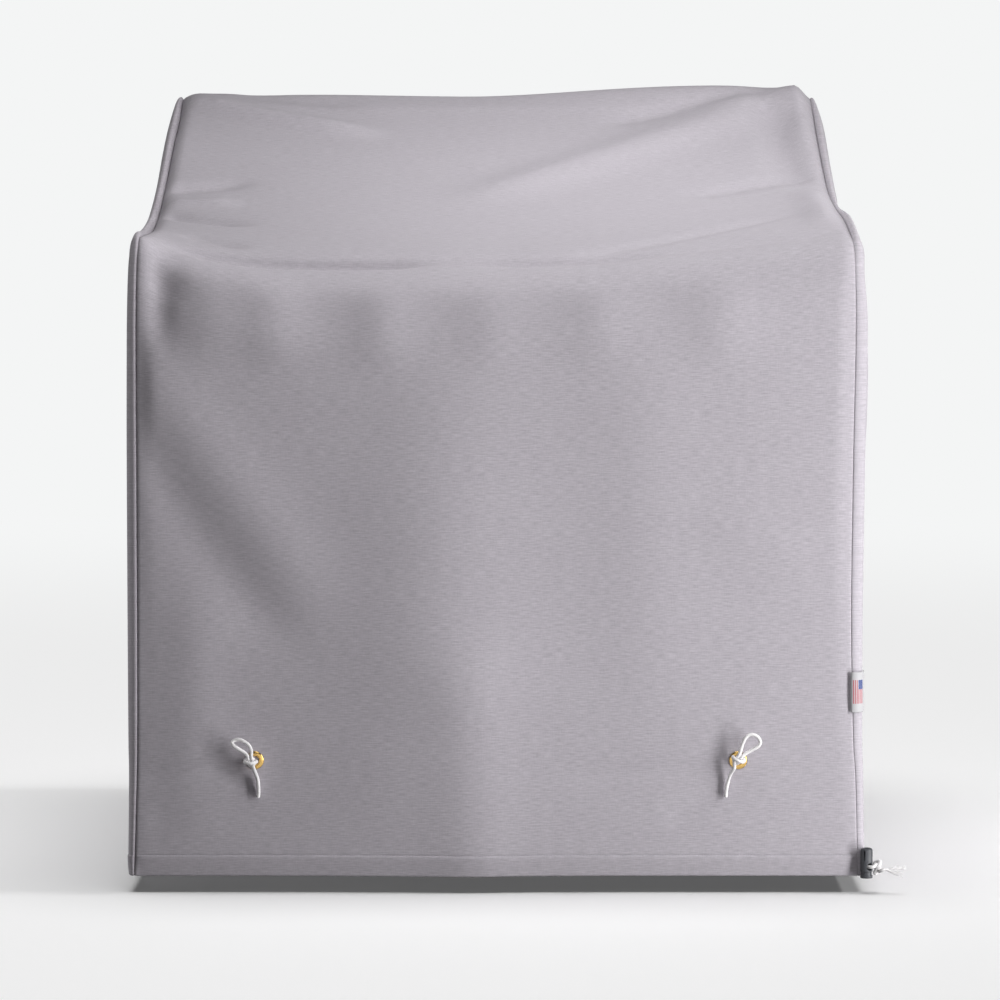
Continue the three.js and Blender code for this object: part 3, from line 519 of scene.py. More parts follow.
# ----------------------------------------
# Wide panel: one length of plain-weave canvas from the front hem over the crest to the back hem, with a
# double hem for the drawcord. It hangs slack from its two seams, so it sags between them and its weight
# draws folds down from the front edge.

# Cover coordinates, in millimetres: x from the middle, y from the front face, z from the hem line.
COVER_ORIGIN = np.array((0, 795, 835.2))

# The panel's lines across: along its length, y, then z at the left seam, in the middle and at the right
# seam, x at both seams, and the radius of the rim past each seam.
STATIONS = np.array([
    (0, -2.9, 0, 0, 0, -386, 385, 7, 7),
    (23, -3.6, 23, 23, 23, -385, 384, 7, 7),
    (111, -2, 111, 111, 111, -382.5, 381.5, 8.5, 8.5),
    (137, -2, 137, 137, 137, -382, 379.5, 9.5, 9.5),
    (270, 0, 270, 270, 270, -381.5, 376.5, 10.5, 12.6),
    (460, 0, 460, 458, 460, -381.5, 378, 10.5, 13.2),
    (540, 0, 543, 534, 542, -381.5, 379.5, 10, 13.2),
    (590, 2, 600, 583, 597, -381.5, 380, 9.5, 13),
    (640, 13, 652, 616, 643, -381, 380, 9, 10),
    (674, 32, 677, 632, 668, -380, 380, 8.5, 11),
    (704, 58, 679, 641, 676, -380, 380, 11, 12),
    (716, 68, 679, 643, 677, -380, 380, 12, 12),
    (730, 78, 678.5, 648.5, 679, -380, 380, 13, 12),
    (745, 92, 677.5, 652.5, 681, -380, 380, 14, 12),
    (845, 195, 677, 668, 695, -380, 380, 17, 12),
    (985, 330, 694, 695, 706, -380, 380, 15, 5.5),
    (1125, 465, 731, 726, 726, -380, 380, 13, 10.5),
    (1275, 605, 777, 767, 768, -380, 380, 14, 12),
    (1390, 712, 806, 802, 806, -380, 380, 15, 12),
    (1445, 762, 828, 822, 826.5, -380, 380, 10, 7),
    (1480, 795, 832.3, 832.1, 832.8, -380, 380, 7, 5),
    (1520, 828, 821, 820, 821, -380, 380, 9, 8),
    (1570, 839, 775, 775, 775, -380, 380, 11, 11),
    (1950, 842, 390, 390, 390, -381, 381, 10, 10),
    (2317, 845, 23, 23, 23, -384, 384, 8, 8),
    (2340, 846, 0, 0, 0, -385, 385, 7, 7),
])
Y, Z_LEFT, Z_MIDDLE, Z_RIGHT, X_LEFT, X_RIGHT, RIM_LEFT, RIM_RIGHT = range(1, 9)
END_ALONG = STATIONS[-1, 0]

# A fold runs from one place (x, along) to another, bows sideways, and has a width, a height, which is
# below zero in a hollow, and the share of its length that keeps it.
FRONT_FOLDS = (
    (-410, 590, -165, 265, 0, 38, 4.5, 0.4),
    (-395, 500, -190, 215, -14, 30, -3.2, 0.4),
    (-325, 330, -330, 20, 6, 34, 3.5, 0.4),
    (-58, 600, -55, 130, 0, 80, 6, 0.5),
    (-90, 500, -70, -10, 0, 110, 6, 0.4),
    (-32, 280, -22, -80, 0, 42, 4, 0.4),
    (150, 640, 165, 120, 0, 50, 2.2, 0.4),
    (200, 385, 350, 325, 4, 30, 1.5, 0.2),
    (-400, 92, -262, 126, 4, 8, -1.6, 0.4),
    (-385, 52, -290, 100, 0, 14, -1.4, 0.3),
    (-52, 330, -50, -100, 0, 112, 5, 0.3),
    (-272, 700, -272, 540, 0, 58, 5, 0.3),
    (-352, 705, -350, 600, 0, 22, -4, 0.3),
    (50, 108, 244, 120, -4, 8, -1.3, 0.4),
    (176, 54, 240, 100, 0, 10, -1.5, 0.3),
)
# Folds that hang straight down from the front edge: x, where they end, width and height.
EDGE_FOLDS = (
    (-357, 550, 17, -5.5), (-306, 520, 26, 2), (-235, 530, 30, 3), (-121, 530, 30, 3.4),
    (-8, 520, 30, 2), (108, 530, 32, 2.6), (238, 530, 36, 3.5),
)
SLOPE_FOLDS = (
    (-375, 701, -60, 716, 0, 11, -6.5, 0.6),
    (-40, 716, 190, 716, 0, 11, -3.6, 0.4),
    (60, 712, 350, 905, -14, 16, -4, 0.4),
    (-350, 800, -262, 752, 0, 14, -5, 0.3),
    (-400, 985, -262, 895, -10, 15, -7, 0.4),
    (-420, 1010, -280, 1015, 0, 18, 6, 0.4),
    (-420, 1060, -270, 1115, 0, 16, -7, 0.3),
    (-395, 1450, -120, 1310, -8, 22, 10, 0.4),
    (-330, 1478, -150, 1420, 0, 20, -4, 0.3),
    (385, 1490, -60, 1000, -16, 38, 9, 0.5),
    (390, 1500, 100, 1345, -6, 18, -5, 0.4),
    (385, 1185, 200, 1040, 0, 20, -5, 0.3),
    (320, 1500, 345, 1110, 0, 20, -10, 0.5),
    (356, 760, 356, 1100, 0, 17, 7, 0.5),
    (366, 1500, 366, 1250, 0, 13, 5, 0.3),
    (-40, 1485, 640, 1485, 0, 60, 13.5, 0.1),
    (-640, 1485, -20, 1485, 0, 60, 3, 0.1),
)
BACK_FOLDS = (
    (-250, 1560, -230, 2400, 10, 50, 5, 0.5),
    (-90, 1620, -110, 2400, -8, 60, -4, 0.5),
    (80, 1560, 60, 2400, 8, 55, 5, 0.5),
    (240, 1600, 270, 2400, -8, 50, -4, 0.5),
)
# How far from a seam the folds die out and the hem rises, where the eyelets are, and where round them
# the folds come back.
SEAM_CALM, HEM_RISES = 22, 6
EYELET_X, EYELET_ALONG, EYELET_CALM = 257, 124, (19.5, 44.2)


def smooth_between(value, low, high):
    share = np.clip((value - low) / (high - low), 0, 1)
    return share * share * (3 - 2 * share)


def at_station(column, along):
    """One column of the stations as a smooth curve."""
    knots, values, spots = STATIONS[:, 0], STATIONS[:, column], np.arange(len(STATIONS))
    before, after = np.maximum(spots - 1, 0), np.minimum(spots + 1, len(knots) - 1)
    slopes = (values[after] - values[before]) / (knots[after] - knots[before])
    i = np.clip(np.searchsorted(knots, along) - 1, 0, len(knots) - 2)
    length = knots[i + 1] - knots[i]
    t = np.clip((along - knots[i]) / length, 0, 1)
    return (
        values[i] * (1 + 2 * t) * (1 - t) ** 2 + values[i + 1] * t * t * (3 - 2 * t)
        + length * t * (1 - t) * (slopes[i] * (1 - t) - slopes[i + 1] * t)
    )


def fold_heights(folds, u, v):
    """The summed heights of folds at flat places."""
    total = np.zeros(np.broadcast(u, v).shape)
    for u1, v1, u2, v2, bow, width, height, hold in folds:
        run_u, run_v = u2 - u1, v2 - v1
        length = math.hypot(run_u, run_v)
        t = ((u - u1) * run_u + (v - v1) * run_v) / length**2
        sideways = (run_u * (v - v1) - run_v * (u - u1)) / length - bow * 4 * t * (1 - t)
        from_middle = np.abs(2 * t - 1)
        fade = np.clip((from_middle - hold) / (1 - hold), 0, 1)
        total += height * np.exp(-((sideways / width) ** 2)) * (1 - fade * fade) ** 2
    return total


def wide_panel_folds(x, along):
    edge = [(u, 665, u, bottom, 0, width, height, 0.2) for u, bottom, width, height in EDGE_FOLDS]
    return fold_heights([*FRONT_FOLDS, *edge, *SLOPE_FOLDS, *BACK_FOLDS], x, along)


def wide_panel_relief(x, along):
    to_seam = np.minimum(x - at_station(X_LEFT, along), at_station(X_RIGHT, along) - x)
    relief = wide_panel_folds(x, along)
    for middle in (-EYELET_X, EYELET_X):
        clamped = 1 - smooth_between(np.hypot(x - middle, along - EYELET_ALONG), *EYELET_CALM)
        level = wide_panel_folds(middle, EYELET_ALONG)
        relief = relief * (1 - clamped) + level * clamped
    hem = hem_relief(np.minimum(along, END_ALONG - along)) * smooth_between(to_seam, 0, HEM_RISES)
    groove = seam_groove(to_seam, x < 0)
    return relief * smooth_between(to_seam, 0, SEAM_CALM) + seam_puff(to_seam, x, along) + hem - groove


GROOVE_LEFT, GROOVE_RIGHT, GROOVE_WIDTH = 1.3, 0.4, 1.2


def seam_groove(to_seam, at_left):
    """The stitches draw both panels in along the seam, deeper on the left."""
    return np.where(at_left, GROOVE_LEFT, GROOVE_RIGHT) * np.exp(-((to_seam / GROOVE_WIDTH) ** 2))


# The rows of a hem, from its fold to past its line of stitches.
HEM_ROWS = np.array((1.6, 3, 5, 7.5, 10.5, 14, 17.5, 20, 21.2, 21.8, 22.3, 22.8, 23.4, 24.4))
STITCH_HEIGHT = 22.3
# How far a hem stands out and between which heights that ends, how far it rounds off to its fold and
# from what height, and the depth and width of the groove along its stitches.
HEM_STANDS, HEM_ENDS, HEM_ROUNDS, ROUND_HEIGHT = 0.8, (21, 22.6), 2.4, 22
DRAWN_IN, DRAWN_WIDTH = 0.5, 0.9


def hem_relief(height):
    """A hem is two layers thicker, rounds off to its fold, and its stitches draw a groove."""
    standing = HEM_STANDS * (1 - smooth_between(height, *HEM_ENDS))
    standing = standing - HEM_ROUNDS * np.clip(1 - height / ROUND_HEIGHT, 0, 1) ** 1.4
    return standing - DRAWN_IN * np.exp(-(((height - STITCH_HEIGHT) / DRAWN_WIDTH) ** 2))


# Along, how high the cloth stands beside the left and right seams, over what width, and how round.
SEAM_PUFF = np.array([
    (0, 0.8, 0.8, 14, 1.6), (250, 1, 2, 17, 1.4), (400, 3, 4, 18, 1.1), (600, 2.6, 4, 17, 1.3),
    (680, 3, 4, 14, 2), (780, 10, 7, 16, 2.2), (1420, 10, 7, 15, 2.2), (1480, 3.2, 3, 14, 2),
    (1540, 2, 2, 14, 2), (2340, 0.8, 0.8, 14, 1.6),
])


def seam_puff(to_seam, x, along):
    """The seam allowance inside props up the cloth, which turns down to the seam."""
    places, *columns = SEAM_PUFF.T
    left, right, width, power = (np.interp(along, places, column) for column in columns)
    height = left + (right - left) * smooth_between(x, -300, 300)
    return height * (1 - (1 - np.clip(to_seam / width, 0, 1)) ** power)


# How sharply the slack cloth rises to the left and the right seam.
RISE_LEFT, RISE_RIGHT = 5.5, 1.6


def wide_panel_base(across, along):
    share = (across + 1) / 2
    x = at_station(X_LEFT, along) * (1 - share) + at_station(X_RIGHT, along) * share
    seam_share = np.abs(across) ** np.where(across < 0, RISE_LEFT, RISE_RIGHT)
    seam = np.where(across < 0, at_station(Z_LEFT, along), at_station(Z_RIGHT, along))
    z = at_station(Z_MIDDLE, along) * (1 - seam_share) + seam * seam_share
    return x, at_station(Y, along), z


def base_and_out(across, along):
    """x, y and z of the panel without its folds, and y and z of the direction out of it."""
    _, y0, z0 = wide_panel_base(across, np.maximum(along - 2, 0))
    _, y1, z1 = wide_panel_base(across, np.minimum(along + 2, END_ALONG))
    size = np.hypot(z0 - z1, y1 - y0)
    return *wide_panel_base(across, along), (z0 - z1) / size, (y1 - y0) / size


def cloth_rows(*runs):
    """The front hem's rows, runs of rows, each by its start and step, and the back hem's rows."""
    rows = list(HEM_ROWS)
    for (start, step), (end, _) in zip(runs, runs[1:]):
        count = max(1, round((end - start) / step))
        rows += [start + (end - start) * n / count for n in range(count)]
    return np.array([*rows, runs[-1][0], *(END_ALONG - HEM_ROWS[::-1])])


def cloth_sheet(name, parts, thickness):
    """A sheet of canvas. Each part is a grid of points, its UVs, and -1 to turn it over."""
    points, faces, uv, first = [], [], [], 0
    for grid, flat, outward in parts:
        rows, columns = grid.shape[:2]
        i, j = (a.ravel() for a in np.mgrid[0 : rows - 1, 0 : columns - 1])
        a = i * columns + j
        part_faces = np.stack([a, a + 1, a + columns + 1, a + columns], axis=1)[:, ::outward]
        points.append((grid - COVER_ORIGIN).reshape(-1, 3) * MM)
        uv.append((flat.reshape(-1, 2) * MM)[part_faces.ravel()])
        faces.append(part_faces + first)
        first += rows * columns
    sheet = mesh_object(name, np.concatenate(points), np.concatenate(faces), np.concatenate(uv))
    joined = bmesh.new()
    joined.from_mesh(sheet.data)
    bmesh.ops.remove_doubles(joined, verts=joined.verts, dist=1e-6)
    joined.to_mesh(sheet.data)
    joined.free()
    apply_modifier(sheet, "cloth thickness", "SOLIDIFY", thickness=thickness, offset=0.0)
    return sheet


# From a hem's lowest outer row round the fold and up to the inner edge: rise, and way in.
HEM_FOLD = (
    *((-1.6 * math.sin(turn), 1.6 - 1.6 * math.cos(turn)) for turn in np.linspace(0, math.pi, 8)),
    (3, 3.2), (6.4, 3), (14.4, 2.4), (18.9, 1.65), (20.7, 1.35), (21.8, 1.5),
)


def level_inwards(line, turn):
    """The level directions from an edge line to the inside of the cover."""
    run = np.gradient(line, axis=0)
    inwards = np.stack([-run[:, 1], run[:, 0], np.zeros(len(line))], axis=1) * turn
    return inwards / np.linalg.norm(inwards, axis=1)[:, None]


def hem_inside(edge, turn):
    """The folded and inner part of a hem, as a part of its sheet."""
    inwards = level_inwards(edge, turn)
    grid = np.array([edge + inwards * depth + (0, 0, rise) for rise, depth in reversed(HEM_FOLD)])
    height = -travelled(np.array(HEM_FOLD))[::-1]
    flat = np.stack(np.broadcast_arrays(travelled(edge), height[:, None]), axis=-1)
    return grid, flat, turn


# A stitch's length, the way from one to the next, the thread's radius, how far its middle stands off the
# cloth, and the share of its way out by which its ends sink.
STITCH_LENGTH, STITCH_PITCH, THREAD_RADIUS, THREAD_STANDS, ENDS_SINK = 2.5, 3.5, 0.28, 0.12, 0.3
CANVAS = 1.0 * MM


def hem_stitches(name, rows):
    """Stitches along lines on the hem. With each line comes the way that it is turned."""
    threads = []
    for line, turn in rows:
        distance = travelled(line)
        out = -level_inwards(line, turn) * (CANVAS / MM / 2 + THREAD_STANDS)
        sunk, raised = line + out * (1 - ENDS_SINK), line + out
        for start in np.arange(1.5, distance[-1] - STITCH_LENGTH, STITCH_PITCH):
            thread = []
            for share, way in ((0, sunk), (0.5, raised), (1, sunk)):
                place = start + STITCH_LENGTH * share
                thread.append([np.interp(place, distance, way[:, axis]) for axis in range(3)])
            threads.append(((np.array(thread) - COVER_ORIGIN) * MM, THREAD_RADIUS * MM, 5))
    stitches = tubes_object(name, threads)
    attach(stitches, "root")
    return stitches


panel_rows = cloth_rows((26, 7), (560, 4.5), (760, 8), (1420, 6), (1600, 20), (2314, 1))
# Shares of half its width: columns close together beside the seams, then even ones.
HALF_WIDTH = 382
seam_columns = np.array([0, 1.2, 2.6, 4.4, 7, 10.5]) / HALF_WIDTH
last_even = 1 - 15 / HALF_WIDTH
panel_columns = np.concatenate([
    -1 + seam_columns, np.linspace(-last_even, last_even, 140), (1 - seam_columns)[::-1],
])
across, along = np.meshgrid(panel_columns, panel_rows)
x, y, z, out_y, out_z = base_and_out(across, along)
relief = wide_panel_relief(x, along)
grid = np.stack([x, y + out_y * relief, z + out_z * relief], axis=-1)
flat = np.stack([grid[..., 0], along], axis=-1)
wide_panel = cloth_sheet(
    "front_slope_and_back", [(grid, flat, 1), hem_inside(grid[0], 1), hem_inside(grid[-1], -1)], CANVAS
)
stands_for(wide_panel, "wide_panel")
stitch_row = list(HEM_ROWS).index(STITCH_HEIGHT)
wide_panel_stitches = hem_stitches(
    "front_and_back_hem_stitches", ((grid[stitch_row], 1), (grid[-1 - stitch_row], -1))
)

# ----------------------------------------
# Side panels: each has the cover's profile, with its own double hem, and is sewn to the wide panel.
# Past the seam it turns outwards over the seam allowance before it hangs down.

# As for the front's folds, with y and z for their places.
SIDE_FOLDS = {
    "left": (
        (60, 700, 190, -60, 10, 60, 5, 0.5),
        (300, 720, 330, -60, 0, 70, -6, 0.5),
        (480, 760, 520, -60, -8, 80, 6, 0.5),
        (760, 820, 680, -60, 8, 60, -5, 0.5),
    ),
    "right": (
        (30, 650, 120, 420, 0, 60, 4, 0.3),
        (230, 720, 260, -60, 10, 70, -6, 0.5),
        (430, 740, 450, -60, -8, 70, 6, 0.5),
        (720, 820, 620, -60, 8, 80, -5, 0.5),
    ),
}
# The gap at the seam, the hem's x, and how far down from the rim the folds are full. Then the hem's
# front, its depth, the share of it that is free at each end, and more of it for each millimetre down.
SEAM_GAP, SIDE_HEM_X, SIDE_CALM = 0.2, 392, 80
SIDE_FRONT, SIDE_DEPTH, SIDE_MARGIN, HEM_NARROWS = -4, 850, 0.1, 0.001
# On the slope the rim is a ridge: how it rises and drops, and between which lines it begins and ends.
WELT_RISE, WELT_DROP, WELT_BEGINS, WELT_ENDS = 0.45, 1.2, (640, 760), (1440, 1530)
# Across the rim, and then down the side to the hem and down the hem's rows to its fold.
RIM_SHARES = 1 - (1 - np.linspace(0, 1, 14)) ** 1.6
DOWN = [(share, HEM_ROWS[-1]) for share in np.linspace(0, 1, 50)[1:]]
DOWN += [(1.0, height) for height in HEM_ROWS[-2::-1]]

side_rows = cloth_rows((28, 9), (560, 6), (760, 10), (1420, 7), (1600, 16), (2312, 1))
side_panels, stitch_pieces = [], [wide_panel_stitches]
for side, turn, seam_x, rim in (("left", -1, X_LEFT, RIM_LEFT), ("right", 1, X_RIGHT, RIM_RIGHT)):
    _, y, z, out_y, out_z = base_and_out(np.full_like(side_rows, turn), side_rows)
    inwards = -np.stack([np.zeros_like(y), out_y, out_z], axis=1)
    seam = np.stack([at_station(seam_x, side_rows) + turn * SEAM_GAP, y, z], axis=1)
    radius = at_station(rim, side_rows)[:, None]
    sideways = np.array((turn, 0, 0))
    welt = smooth_between(side_rows, *WELT_BEGINS) * (1 - smooth_between(side_rows, *WELT_ENDS))
    lines = []
    for share in RIM_SHARES:
        rounded = 1 - math.sqrt(1 - share**2)
        ridged = WELT_DROP * (1 - math.sqrt(1 - share**4)) - WELT_RISE * math.sin(math.pi * share / 0.8)
        drop = rounded + (ridged - rounded) * welt[:, None]
        line = seam + (sideways * share + inwards * drop) * radius
        lines.append(line + inwards * seam_groove(share * radius, turn < 0))
    start = lines[-1]
    place = np.linspace(0, 1, len(side_rows))
    for share, height in DOWN:
        margin = SIDE_MARGIN + HEM_NARROWS * (HEM_ROWS[-1] - height)
        end_y = SIDE_FRONT + SIDE_DEPTH * (margin + (1 - 2 * margin) * place)
        end = np.stack([np.full_like(y, turn * SIDE_HEM_X), end_y, np.minimum(height, z)], axis=1)
        line = start + (end - start) * share
        calm = smooth_between(np.linalg.norm(line - start, axis=1), 0, SIDE_CALM)
        line[:, 0] += turn * calm * fold_heights(SIDE_FOLDS[side], line[:, 1], line[:, 2])
        lines.append(line)
    grid = np.stack(lines, axis=1)
    flat = grid[..., 1:].copy()
    corner = np.clip(grid[..., 1], y[0] + radius[0], y[-1] - radius[-1])
    out = np.stack([grid[..., 0] - seam[0, 0], grid[..., 1] - corner], axis=-1)
    out /= np.linalg.norm(out, axis=-1)[..., None] + 1e-9
    from_seam = np.linalg.norm(grid - grid[:, :1], axis=-1)
    raised = hem_relief(grid[..., 2]) * smooth_between(from_seam, 0, HEM_RISES)
    grid[..., :2] += out * raised[..., None]
    edge = np.concatenate([grid[0], grid[1:-1, -1], grid[-1, ::-1]])
    panel = cloth_sheet(side + "_side", [(grid, flat, turn), hem_inside(edge, turn)], CANVAS)
    stands_for(panel, side + "_side_panel")
    stitch_line = np.concatenate([
        grid[stitch_row, : -1 - stitch_row], grid[stitch_row:-stitch_row, -1 - stitch_row],
        grid[-1 - stitch_row, : -1 - stitch_row][::-1],
    ])
    stitches = hem_stitches(side + "_hem_stitches", ((stitch_line, turn),))
    side_panels.append(panel)
    stitch_pieces.append(stitches)

# Solution-dyed polyester canvas, plain weave, grey with a lilac cast. Thick and thin yarns run across,
# so short pale slubs lie sideways on a finer upright grain. The yarns are 0.5 mm apart and are drawn at
# 1.6 mm, because finer ones don't show. It is matt, with the faint sheen of its fibre ends.
YARN = 1.6 * MM

canvas, tree, shader = new_finish("plain-weave polyester canvas, lilac grey")
place = add_node(tree, "UVMap", uv_map="UVMap")
streaks = []
# Width and height in millimetres, and detail: slubs, the upright grain, and clouds of tone.
for width, height, detail in ((12, 1.1, 2), (1.2, 6, 1), (60, 30, 3)):
    stretch = (1 / (width * MM), 1 / (height * MM), 1)
    stretched = add_node(tree, "Mapping", {"Vector": place, "Scale": stretch})
    streaks.append(add_node(
        tree, "TexNoise", {"Vector": stretched, "Scale": 1, "Detail": detail, "Roughness": 0.6},
        noise_dimensions="2D",
    ))
slubs, upright, cloudy = streaks
weave = []
for direction, wander in (("X", 2.2), ("Y", 3.5)):
    yarns = {"Vector": place, "Scale": BANDS / YARN, "Distortion": wander, "Detail": 1}
    yarns["Detail Scale"] = 0.6
    weave.append(add_node(tree, "TexWave", yarns, bands_direction=direction).outputs["Fac"])
# The streaks of the colour, and the crossing yarns with the slubs on them.
both = add_node(tree, "Math", {0: upright, 1: 0.3, 2: slubs}, operation="MULTIPLY_ADD")
crossing = add_node(tree, "Math", {0: weave[0], 1: 0.35, 2: weave[1]}, operation="MULTIPLY_ADD")
height = add_node(tree, "Math", {0: slubs, 1: 1.5, 2: crossing}, operation="MULTIPLY_ADD")
pale = add_node(tree, "MapRange", {"Value": both, "From Min": 0.4, "From Max": 0.9})
yarn = add_node(tree, "Mix", {0: pale, 6: "#ABA6AD", 7: "#C1BCC3"}, data_type="RGBA")
tone = add_node(tree, "Mix", {0: cloudy, 6: "#FFFFFF", 7: "#FAF9FA"}, data_type="RGBA")
shade = add_node(tree, "Mix", {0: 1, 6: yarn, 7: tone}, data_type="RGBA", blend_type="MULTIPLY")
bump = add_node(tree, "Bump", {"Height": height, "Strength": 0.35, "Distance": 0.15 * MM})
set_inputs(shader, {
    "Base Color": shade, "Normal": bump, "Roughness": 0.92, "Specular IOR Level": 0.2,
    "Sheen Weight": 0.12, "Sheen Roughness": 0.6,
})
for piece in (wide_panel, *side_panels):
    piece.data.materials.append(canvas)

# Two-ply polyester sewing thread, a shade darker than the cloth, with the slant of its twist painted as
# stripes, darker as painted shade between the plies. The plies are 0.3 mm apart and are drawn at 0.5 mm,
# because finer ones don't show.
sewing_thread, tree, shader = new_finish("twisted polyester thread, grey")
place = add_node(tree, "UVMap", uv_map="UVMap")
slanted = add_node(tree, "Mapping", {"Vector": place, "Rotation": (0, 0, math.radians(35))})
plies = add_node(tree, "TexWave", {"Vector": slanted, "Scale": BANDS / (0.5 * MM)}).outputs["Fac"]
# Painted shade: the stripes are darker in the grooves between the plies.
shade = add_node(tree, "Mix", {0: plies, 6: "#8F8A92", 7: "#B3AEB6"}, data_type="RGBA")
set_inputs(shader, {"Base Color": shade, "Roughness": 0.6})
for piece in stitch_pieces:
    piece.data.materials.append(sewing_thread)

# ----------------------------------------
# Eyelets: pressed brass, each a flange with a rolled barrel through the cloth and a washer behind it,
# closed on the cloth by a press. The second is a copy of the first.

# Radius, and height out from the middle of the cloth, in millimetres.
EYELET_SHAPE = (
    (4.4, 1.2), (4.4, -1.8), (4.65, -2.2), (5.3, -2.4), (7.5, -2.3), (9, -1.9), (9.1, -1.5), (9, -1.1),
    (5, -1.1), (5, 1.1), (9.4, 1.1), (9.6, 1.3), (9.45, 1.65), (8.6, 2.2), (7.3, 2.5), (6, 2.6),
    (5.1, 2.4), (4.6, 2), (4.4, 1.2),
)
EYELET_SIDES = 72

left_middle, right_middle = (Vector(eyelet_middle(side)) for side in ("left", "right"))
left_eyelet = turned_piece(
    "left_pressed_eyelet", EYELET_SHAPE, left_middle, (0, -1, 0), EYELET_SIDES, "NOTHING"
)
bpy.ops.object.shade_smooth_by_angle(angle=math.radians(40))

# Polished brass, lacquered: a warm, sharp reflection, with fine ring marks from the press about 0.5 mm
# apart and a faint brown bloom.
brass, shader = grained_finish(
    "pressed brass, polished", ("#E6C47C", "#C79E58"), 4 * MM, 3, 0.5 * MM, (0.16, 0.3), 0.12, 0.03 * MM
)
shader.inputs["Metallic"].default_value = 1.0
left_eyelet.data.materials.clear()
left_eyelet.data.materials.append(brass)

right_eyelet = left_eyelet.copy()
right_eyelet.data = left_eyelet.data.copy()
right_eyelet.name = "right_pressed_eyelet"
bpy.context.collection.objects.link(right_eyelet)
right_eyelet.data.transform(Matrix.Translation(right_middle - left_middle))
for piece, node in ((left_eyelet, "left_eyelet"), (right_eyelet, "right_eyelet")):
    stands_for(piece, node)

# ----------------------------------------
# Tag: a strip of woven label tape sewn into the right seam and curling round the corner, with a striped
# flag woven lengthways up it, so it shows turned on its side.

# The tag from above, x and y from its seam round the corner, its bottom and its top, and the wave in it.
TAG_LINE = (
    (376.3, -3), (377.1, -4.6), (380.2, -5.1), (384.5, -3.7), (388.3, 0.2), (390.4, 5.5), (391.1, 11),
    (391.2, 17),
)
TAG_BOTTOM, TAG_TOP, TAG_WAVE, TAG_WAVE_LENGTH = 175, 218, 0.35, 12
FLAG_START, FLAG_BOTTOM, FLAG_WIDTH, FLAG_HEIGHT = 3.4 * MM, 9.4 * MM, 12.8 * MM, 25.2 * MM

tag_line = smooth_route([(x, y, 0) for x, y in TAG_LINE], 0.9)
tag_heights = np.linspace(0, TAG_TOP - TAG_BOTTOM, 40)
curl = TAG_WAVE * np.sin(tag_heights / TAG_WAVE_LENGTH)[:, None, None] * np.array((0, -1, 0))
grid = tag_line[None] + np.array((0, 0, 1)) * (TAG_BOTTOM + tag_heights)[:, None, None] + curl
flat = np.stack(np.broadcast_arrays(travelled(tag_line), tag_heights[:, None]), axis=-1)
tag = cloth_sheet("flag_label", [(grid, flat, 1)], 0.7 * MM)
stands_for(tag, "flag_tag")

# Woven polyester label tape: pale grey, with fine ribs across it 0.6 mm apart, and the flag's colours
# woven in, so they are a little dusty.
tape, tree, shader = new_finish("woven label tape with a flag")
place = add_node(tree, "UVMap", uv_map="UVMap")
on_flag = add_node(tree, "Mapping", {
    "Vector": place, "Location": (-FLAG_START / FLAG_WIDTH, -FLAG_BOTTOM / FLAG_HEIGHT, 0),
    "Scale": (1 / FLAG_WIDTH, 1 / FLAG_HEIGHT, 1),
})
across, upwards, _ = add_node(tree, "SeparateXYZ", {"Vector": on_flag}).outputs
# Thirteen stripes, seven of them red: each pair is a red and a pale one.
pairs = add_node(tree, "Math", {0: across, 1: 6.5}, operation="MULTIPLY")
in_pair = add_node(tree, "Math", {0: pairs}, operation="FRACT")
dots = add_node(
    tree, "TexVoronoi", {"Vector": place, "Scale": 1 / (1.15 * MM), "Randomness": 0},
    voronoi_dimensions="2D",
)
# 1 where a value lies between two others, else 0.
inside = []
for value, low, high in (
    (across, 0, 1), (upwards, 0, 1), (across, 6 / 13, 1), (upwards, 0.61, 1), (in_pair, 0, 0.5),
    (dots, 0, 0.24),
):
    inside.append(add_node(
        tree, "Math", {0: value, 1: (low + high) / 2, 2: (high - low) / 2}, operation="COMPARE"
    ))
flag = add_node(tree, "Math", {0: inside[0], 1: inside[1]}, operation="MULTIPLY")
canton = add_node(tree, "Math", {0: inside[2], 1: inside[3]}, operation="MULTIPLY")
worn = add_node(tree, "TexNoise", {"Vector": place, "Scale": 1 / (0.7 * MM), "Detail": 2})
banded = add_node(tree, "Mix", {0: inside[4], 6: "#BDB4B7", 7: "#A8505A"}, data_type="RGBA")
field = add_node(tree, "Mix", {0: inside[5], 6: "#34447A", 7: "#8E96B4"}, data_type="RGBA")
plain = add_node(tree, "Mix", {0: worn, 6: "#AFAEB1", 7: "#BDBCBE"}, data_type="RGBA")
woven = add_node(tree, "Mix", {0: canton, 6: banded, 7: field}, data_type="RGBA")
shade = add_node(tree, "Mix", {0: flag, 6: plain, 7: woven}, data_type="RGBA")
ribs = add_node(
    tree, "TexWave", {"Vector": place, "Scale": BANDS / (0.6 * MM), "Distortion": 0.6},
    bands_direction="Y",
).outputs["Fac"]
bump = add_node(tree, "Bump", {"Height": ribs, "Strength": 0.4, "Distance": 0.08 * MM})
set_inputs(shader, {
    "Base Color": shade, "Normal": bump, "Roughness": 0.7, "Sheen Weight": 0.2,
})
tag.data.materials.append(tape)

# ----------------------------------------
# Floor, light and size: a pale studio floor that fades into the backdrop, a key light from the right
# that rakes the front, soft light from above, and weaker lights for the sides and the back. The floor
# has two suns of its own, so the cover's light and the floor's are set apart.

